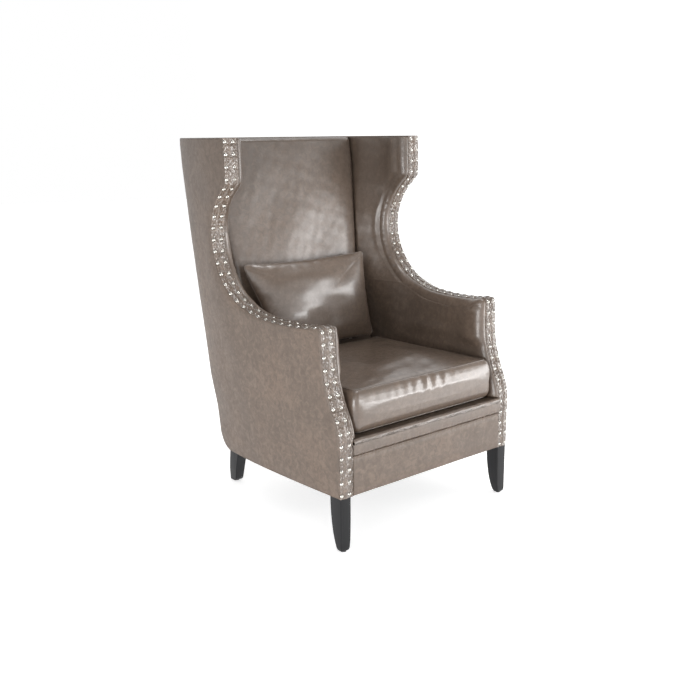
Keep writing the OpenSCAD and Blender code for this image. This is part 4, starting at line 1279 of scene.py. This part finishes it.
def pillow_mesh(n=64, lift=1.0, inset=0.0):
    g = np.linspace(-1, 1, n)
    g = np.sign(g) * (1 - (1 - np.abs(g)) ** 1.15)
    P, Q = np.meshgrid(g, g, indexing="ij")
    A, B = 247.0 - inset, 146.5 - inset
    x, y = ring_point(P, Q, A, B, 13.0)
    dx = 11 * (1 - (y / B) ** 2) * (np.abs(x) / A) ** 3
    lean = np.where(x < 0, 46 * ss(0.95, -0.35, y / B) * (np.abs(x) / A) ** 2.2, 0)
    dy = np.where(y < 0, 1.6, 8.5) * (1 - (x / A) ** 2) * (np.abs(y) / B) ** 3
    x = x - np.sign(x) * dx + lean
    y = y - np.sign(y) * dy
    r = np.maximum(np.abs(P), np.abs(Q))
    e = (1 - r) * B
    f = np.maximum((1 - np.abs(P) ** 3.4) * (1 - np.abs(Q) ** 2.3), 0) ** 0.56
    # corners stay thin, like ears
    ear = 1 - 0.45 * (np.abs(P) * np.abs(Q)) ** 7
    top = np.stack([x, y, (44 * 1.15 - inset) * f * lift * ear], -1)
    low = np.stack([x, y, -(44 * 0.9 - inset) * f * lift * ear], -1)
    rim = square_rim(n)
    on_rim = np.zeros((n, n), bool)
    for c in rim:
        on_rim[c] = True
    index = np.arange(n * n).reshape(n, n)
    back_index = np.where(on_rim, index, -1)
    free = np.where(~on_rim)
    back_index[free] = n * n + np.arange(len(free[0]))
    pts = np.concatenate([top.reshape(-1, 3), low[free]])
    faces = []
    for i in range(n - 1):
        for j in range(n - 1):
            faces.append([index[i, j], index[i + 1, j], index[i + 1, j + 1], index[i, j + 1]])
            faces.append([back_index[i, j], back_index[i, j + 1], back_index[i + 1, j + 1], back_index[i + 1, j]])
    return pts, [[int(k) for k in f] for f in faces], np.array([index[c] for c in rim]), e


def pillow():
    pts, faces, rim, _ = pillow_mesh(lift=0.86)
    ob = new_object("pillow_work", pts * 0.001, faces)
    pins = np.zeros(len(pts))
    pins[rim] = 1
    moved = inflate(ob, PRESSURE_PILLOW, 20, 0.022, pins) * 1000
    new = pts + relaxed(moved - pts, faces, 26)
    u, v = pts[:, 0] / 247, pts[:, 1] / 146.5
    edge = (1 - np.maximum(np.abs(u), np.abs(v))) * 146
    face = pts[:, 2] > 0.5
    # loose filling: soft hollows and ridges, stronger low down
    lump = 2.2 * wav(pts[:, :2], 190, 301) * ss(6, 60, edge) + 0.5 * wav(pts[:, :2] * [1.0, 1.3], 92, 303) * ss(3, 40, edge)
    tuck_dir = np.where(np.abs(u) > np.abs(v), pts[:, 1], pts[:, 0])
    tuck = 0.8 * wav(np.stack([tuck_dir, edge * 0.25], -1), 30, 305) * np.exp(-edge / 22) * ss(0, 5, edge)
    new[:, 2] += np.where(face, lump + tuck, np.where(pts[:, 2] < -0.5, -0.4 * lump - tuck, 0))
    # fuller where the filling has sunk, left of the middle and low down
    new[:, 2] += face * 5.0 * np.exp(-((pts[:, 0] + 40) / 95) ** 2 - ((pts[:, 1] + 30) / 60) ** 2)
    new[:, 2] = np.clip(new[:, 2], -39.0, 53.5)
    set_points(ob, W(pillow_place(new)))
    ob.name = "pillow_leather"
    ring = new[np.append(rim, rim[0])]
    subdivided(ob)
    settle(ob, PLUMP, "lumbar_pillow", ("pillow_cover",))
    b = Build()
    out = ring * [1, 1, 0]
    out /= np.linalg.norm(out, axis=1, keepdims=True)
    b.tube((pillow_place(ring + out * 0.6))[:-1], 1.25, 8, closed=True)
    b.object("pillow_seam", PLUMP, "lumbar_pillow")
    pts, faces, _, _ = pillow_mesh(n=30, lift=0.72, inset=15.0)
    core = new_object("pillow_filling", W(pillow_place(pts)), faces)
    settle(core, FOAM, "lumbar_pillow", ("pillow_fill",))


def block(b, c, half, bevel=0.35, place=lambda p: p):
    """Box with bevelled edges and corners."""
    hx, hy, hz = half
    k = min(bevel, min(half) * 0.6)
    rings = []
    for z, q in ((-hz, k), (-hz + k, 0), (hz - k, 0), (hz, k)):
        ring = []
        for sx, sy in ((1, 1), (-1, 1), (-1, -1), (1, -1)):
            pts = [(sx * (hx - q), sy * (hy - q - k)), (sx * (hx - q - k), sy * (hy - q))]
            if sx * sy < 0:
                pts = pts[::-1]
            ring += [(x, y, z) for x, y in pts]
        rings.append(ring)
    b.rings(place(np.array(rings) + np.asarray(c, float)))


def zip_parts(name, x0, x1, mid, half, place, body, replaced, seed, depth):
    """Tape with two rows of teeth. Local frame: x along, u across, w outward."""
    tape = Build()
    x = np.linspace(x0 - 4, x1 + 4, 160)
    for sign in (-1, 1):
        u = (np.array([0.6, 1.4, 2.6, half - 2, half - 0.8, half]) if half > 5 else np.linspace(0.6, half, 6)) * sign
        xx, uu = np.meshgrid(x, u, indexing="ij")
        w = depth + 0.25 * wav(np.stack([xx, uu], -1), 45, seed) * np.abs(uu) / half + 0.35 * np.exp(-((np.abs(uu) - 1.2) / 0.8) ** 2)
        a = np.stack([xx, mid + uu, w], -1)
        c = a - [0, 0, 0.7]
        tape.shell(place(a), place(c))
    t = tape.object(name + "_tape", TAPE, body, replaced)
    teeth = Build()
    k = 0
    p = x0
    while p < x1:
        s = 1 if k % 2 else -1
        block(teeth, (p, mid + s * 0.75, depth + 0.75), (0.62, 1.5, 0.55), 0.25, place)
        p += 1.7
        k += 1
    for end in (x0 - 1.5, x1 + 1.5):
        block(teeth, (end, mid, depth + 0.8), (1.1, 2.6, 0.75), 0.35, place)
    m = teeth.object(name + "_teeth", ZIP_METAL, body)
    crease(m, 25)


def slider(name, place, body, replaced, pull, at):
    b = Build()
    # body: two plates joined by a bridge, wider at the mouth
    for w0 in (1.75, 2.9):
        rings = []
        for w, q in ((w0, 0.4), (w0 + 0.2, 0), (w0 + 0.5, 0), (w0 + 0.7, 0.4)):
            ring = []
            for x, u in ((-6.6, 2.6), (-3.5, 3.9), (3.5, 4.6), (6.4, 4.8), (6.4, -4.8), (3.5, -4.6), (-3.5, -3.9), (-6.6, -2.6)):
                k = 1 - q / 6
                ring.append((at[0] + x * k, at[1] + u * k, at[2] + w))
            rings.append(ring)
        b.rings(place(np.array(rings)))
    block(b, (at[0] + 5.2, at[1], at[2] + 2.67), (0.8, 1.6, 0.5), 0.1, place)
    # loop for the tab
    a = np.linspace(0, math.pi, 9)
    loop = np.stack([at[0] + 3.2 * np.cos(a), np.full(9, at[1]), at[2] + 3.4 + 1.5 * np.sin(a)], -1)
    b.tube(place(loop), 0.65, 8)
    # pull tab: a rounded plate with a slot towards its far end
    length, half = pull
    sign = 1 if length > 0 else -1
    length = abs(length)

    def outline(r, k, n=14):
        out = []
        for i in range(n + 1):
            t = math.pi / 2 + math.pi * i / n
            out.append((half * k * 0.72 * math.cos(t) + (1 - k) * 0.0, half * k * 0.72 * math.sin(t)))
        for i in range(n + 1):
            t = -math.pi / 2 + math.pi * i / n
            out.append((length - half + half * k * math.cos(t), half * k * math.sin(t)))
        return np.array(out)
    x_hole = length - half * 1.3
    big, small = outline(0, 1.0), outline(0, 0.62)
    small[:, 0] = np.where(small[:, 0] > length / 2, small[:, 0] - 0.4, small[:, 0] + length * 0.52)
    n = len(big)
    grid = []
    for w, k in ((0.0, 1), (0.55, 1)):
        for ring, kk in ((big, 1), (small, 0)):
            grid.append([(at[0] + sign * p[0], at[1] + p[1], at[2] + 4.0 + w) for p in ring])
    g = place(np.array(grid))
    v, faces = g.reshape(-1, 3), []
    for i in range(n):
        j = (i + 1) % n
        faces += [[i, j, n + j, n + i], [2 * n + i, 3 * n + i, 3 * n + j, 2 * n + j],
                  [i, 2 * n + i, 2 * n + j, j], [n + i, n + j, 3 * n + j, 3 * n + i]]
    b.add(v, faces)
    ob = b.object(name, ZIP_METAL, body, replaced)
    crease(ob, 30)


# ------------------------------------------------------------------ small upholstery parts
def deck():
    """Sprung deck seen when the cushion is lifted out: cloth over padding, a sewn line near the front."""
    x = np.linspace(-295, 295, 90)
    y = np.linspace(31.5, 581, 84)
    xx, yy = np.meshgrid(x, y, indexing="ij")
    d = np.minimum(np.minimum(295 - np.abs(xx), yy - 31.5), 581 - yy)
    z = 165.4 - 3.0 * (1 - ss(0, 14, d)) - 1.0 * ss(60, 240, d) + 0.5 * wav(np.stack([xx, yy], -1), 130, 401)
    z = z - 1.6 * np.exp(-((yy - 96) / 3.0) ** 2)
    z = np.minimum(z, 166.0)
    top = seat(np.stack([xx, yy, z], -1))
    low = seat(np.stack([xx, yy, np.full_like(z, 134.0)], -1))
    b = Build()
    b.shell(top, low)
    ob = b.object("deck_cover", DECK, "chair", ("seat_deck_pad",))
    path = np.stack([np.linspace(-286, 286, 200), np.full(200, 98.0), np.full(200, 164.6)], -1)
    o = stitches("deck_stitches", seat(path), [0, 0, 1], 4.0, 2.4, 0.4, "chair", 0.4)


def dust_sheet():
    """Black cloth stapled under the frame, sagging a little between the rails."""
    x = np.concatenate([np.linspace(-335, -300.5, 8), np.linspace(-299, 299, 70), np.linspace(300.5, 335, 8)])
    y = np.concatenate([np.linspace(6.5, 54.5, 12), np.linspace(62, 572, 60), np.linspace(580.5, 612, 8)])
    xx, yy = np.meshgrid(x, y, indexing="ij")
    d = np.minimum(np.minimum(335 - np.abs(xx), yy - 6.5), 612 - yy)
    z = 3.6 - 5.0 * ss(30, 240, d) + 0.5 * wav(np.stack([xx, yy], -1), 90, 411) * ss(10, 80, d)
    g = seat(np.stack([xx, yy, z], -1))
    keep = lambda i, j: not ((abs(xx[i, j] + xx[i + 1, j]) / 2 > 300 and yy[i, j + 1] < 55) or
                             (250 < abs(xx[i, j] + xx[i + 1, j]) / 2 and yy[i, j] > 579))
    n, m = xx.shape
    verts = np.concatenate([g.reshape(-1, 3), (g + [0, 0, 0.45]).reshape(-1, 3)])
    faces, q = [], n * m
    cells = {(i, j) for i in range(n - 1) for j in range(m - 1) if keep(i, j)}
    for i, j in cells:
        a, b2, c, e = i * m + j, (i + 1) * m + j, (i + 1) * m + j + 1, i * m + j + 1
        faces.append([a, b2, c, e])
        faces.append([q + a, q + e, q + c, q + b2])
        for (di, dj), (s, t) in (((-1, 0), (e, a)), ((1, 0), (b2, c)), ((0, -1), (a, b2)), ((0, 1), (c, e))):
            if (i + di, j + dj) not in cells:
                faces.append([t, s, q + s, q + t])
    used = sorted({k for f in faces for k in f})
    remap = {k: i for i, k in enumerate(used)}
    ob = new_object("dust_cloth", W(verts[used]), [[remap[k] for k in f] for f in faces])
    settle(ob, DUST, "chair", ("dust_cover",))
    b = Build()
    for yy0 in (11.0, 607.0):
        for x0 in np.arange(-232, 233, 58):
            block(b, (x0, yy0, 2.4), (5.5, 0.5, 0.35), 0.15, seat)
    for side in (-1, 1):
        for y0 in np.arange(84, 560, 58):
            block(b, (side * 330, y0, 2.4), (0.5, 5.5, 0.35), 0.15, seat)
    st = b.object("dust_cloth_staples", ZINC, "chair")
    crease(st, 30)


def glide_feet():
    """Nail-on plastic glides, slightly domed."""
    b = Build()
    for (cx, cy, r) in ((326, 11.5, 7.5), (274, 663, 9.0)):
        for side in (-1, 1):
            prof = [(0.01, 0.0), (r * 0.55, 0.0), (r * 0.85, 0.25), (r, 0.9), (r, 2.4), (r * 0.94, 3.0), (0.01, 3.0)]
            a = np.arange(28) / 28 * 2 * np.pi
            rings = np.array([[(side * cx + q * math.cos(t), cy + q * math.sin(t), z) for t in a] for q, z in prof])
            b.rings(rings, caps=True)
    ob = b.object("glide_pads", PLASTIC, "chair", ("glides",))
    crease(ob, 40)


PRESSURE_SEAT, PRESSURE_PILLOW = 4.0, 4.0
DECK = woven("deck_cloth", (0.055, 0.048, 0.042), (0.135, 0.120, 0.105), 0.0018)

for side, tag in ((-1, "left"), (1, "right")):
    facing_band(side, "facing_band_" + tag)
    studs(side, "studs_" + tag)
    side_cover(side, "outside_side_cover_" + tag)
    side_pad(side, "inside_side_pad_" + tag)
    leg(True, side, "front_leg_" + tag)
    leg(False, side, "rear_leg_" + tag)
back_cover()
welts()
back_pad()
top_cap()
border_roll()
apron()
seat_cushion()
pillow()
deck()
dust_sheet()
glide_feet()

seat_zip_place = lambda p: seat(np.stack([p[..., 0], 550.3 + p[..., 2], p[..., 1]], -1))
zip_parts("seat_zip", -226, 226, 231.2, 12, seat_zip_place, "seat_cushion", ("seat_zip",), 501, 0.7)
slider("seat_zip_pull", seat_zip_place, "seat_zip_pull", ("seat_zip_slider",), (-25, 3.0), (-216, 231.2, 0.3))
pil_zip_place = lambda p: pillow_place(np.stack([p[..., 0], p[..., 1], -4.0 - p[..., 2]], -1))
zip_parts("pillow_zip", -168, 168, -146.1, 2.6, pil_zip_place, "lumbar_pillow", ("pillow_zip",), 503, 0.7)
slider("pillow_zip_pull", lambda p: pil_zip_place(p * [1, 1, 0.62] + [0, 0, 0]), "pillow_zip_pull", ("pillow_zip_slider",), (20, 2.0), (150, -146.3, 2.2))

# ------------------------------------------------------------------ studio
bm = bmesh.new()
bmesh.ops.create_circle(bm, cap_ends=True, radius=14.0, segments=96)
me = bpy.data.meshes.new("studio_floor")
bm.to_mesh(me)
bm.free()
floor = bpy.data.objects.new("studio_floor", me)
bpy.context.scene.collection.objects.link(floor)
m, nt, bsdf, obj_co = node_material("floor_paper")
n = tex(nt, "Noise", obj_co, 3.0, 4, 0.6)
nt.links.new(ramp(nt, n, [(0.3, (0.90, 0.90, 0.90)), (0.7, (0.93, 0.93, 0.93))]), bsdf.inputs["Base Color"])
nt.links.new(span(nt, n, 0.3, 0.7, 0.85, 0.95), bsdf.inputs["Roughness"])
bsdf.inputs["Specular IOR Level"].default_value = 0.1
bsdf.inputs["Emission Color"].default_value = (1, 1, 1, 1)
bsdf.inputs["Emission Strength"].default_value = 0.56
me.materials.append(m)

world = bpy.data.worlds.new("studio")
bpy.context.scene.world = world
world.use_nodes = True
wn = world.node_tree
bg = next(q for q in wn.nodes if q.type == "BACKGROUND")
sky = wn.nodes.new("ShaderNodeTexCoord")
sep = wn.nodes.new("ShaderNodeSeparateXYZ")
wn.links.new(sky.outputs["Generated"], sep.inputs[0])


def toward(azimuth, lo, hi):
    """0 to 1 as a direction turns towards an azimuth of the room."""
    a = math.radians(azimuth)
    d = maths(wn, "ADD", maths(wn, "MULTIPLY", sep.outputs["X"], math.cos(a)), maths(wn, "MULTIPLY", sep.outputs["Y"], math.sin(a)))
    return span(wn, d, lo, hi)


LAMP = 1.6
walls = mix(wn, toward(292, -0.62, -0.15), (1.0 / LAMP,) * 3, (0.95,) * 3)
above = mix(wn, toward(230, 0.15, 0.60), (0.50 / LAMP,) * 3, (1.1 / LAMP,) * 3)
room = mix(wn, span(wn, sep.outputs["Z"], 0.27, 0.34), walls, above)
behind = mix(wn, toward(38, 0.30, 0.55), (0.42 / LAMP,) * 3, (1.4 / LAMP,) * 3)
room = mix(wn, span(wn, sep.outputs["Z"], 0.42, 0.52), room, behind)
room = mix(wn, span(wn, sep.outputs["Z"], 0.72, 0.84), room, (0.45 / LAMP,) * 3)
wn.links.new(room, bg.inputs["Color"])
bg.inputs["Strength"].default_value = LAMP


def soft_box(name, at, size, power, aim=(0, 0, 0.5), color=(1, 1, 1)):
    data = bpy.data.lights.new(name, "AREA")
    data.shape = "RECTANGLE"
    data.size, data.size_y = size
    data.energy = power
    data.color = color
    o = bpy.data.objects.new(name, data)
    bpy.context.scene.collection.objects.link(o)
    o.location = at
    o.rotation_euler = (Vector(aim) - Vector(at)).to_track_quat("-Z", "Y").to_euler()
    return o


soft_box("low_right", (2.53, -2.28, 0.78), (1.7, 1.4), 50, aim=(0.1, 0, 0.75))
soft_box("low_front", (1.65, -2.90, 0.34), (1.3, 0.5), 18, aim=(0, 0, 0.4))
soft_box("low_left", (-2.45, -1.15, 0.46), (1.4, 0.9), 34, aim=(0.2, 0, 0.8))
soft_box("top", (0.6, -0.25, 3.2), (1.2, 1.2), 28, aim=(0.1, 0, 0.5))
soft_box("high_left", (-1.5, -2.3, 2.0), (1.1, 1.1), 6, aim=(0.25, 0.1, 0.6))

bpy.context.scene.view_settings.view_transform = "Standard"
bpy.context.scene.view_settings.look = "None"
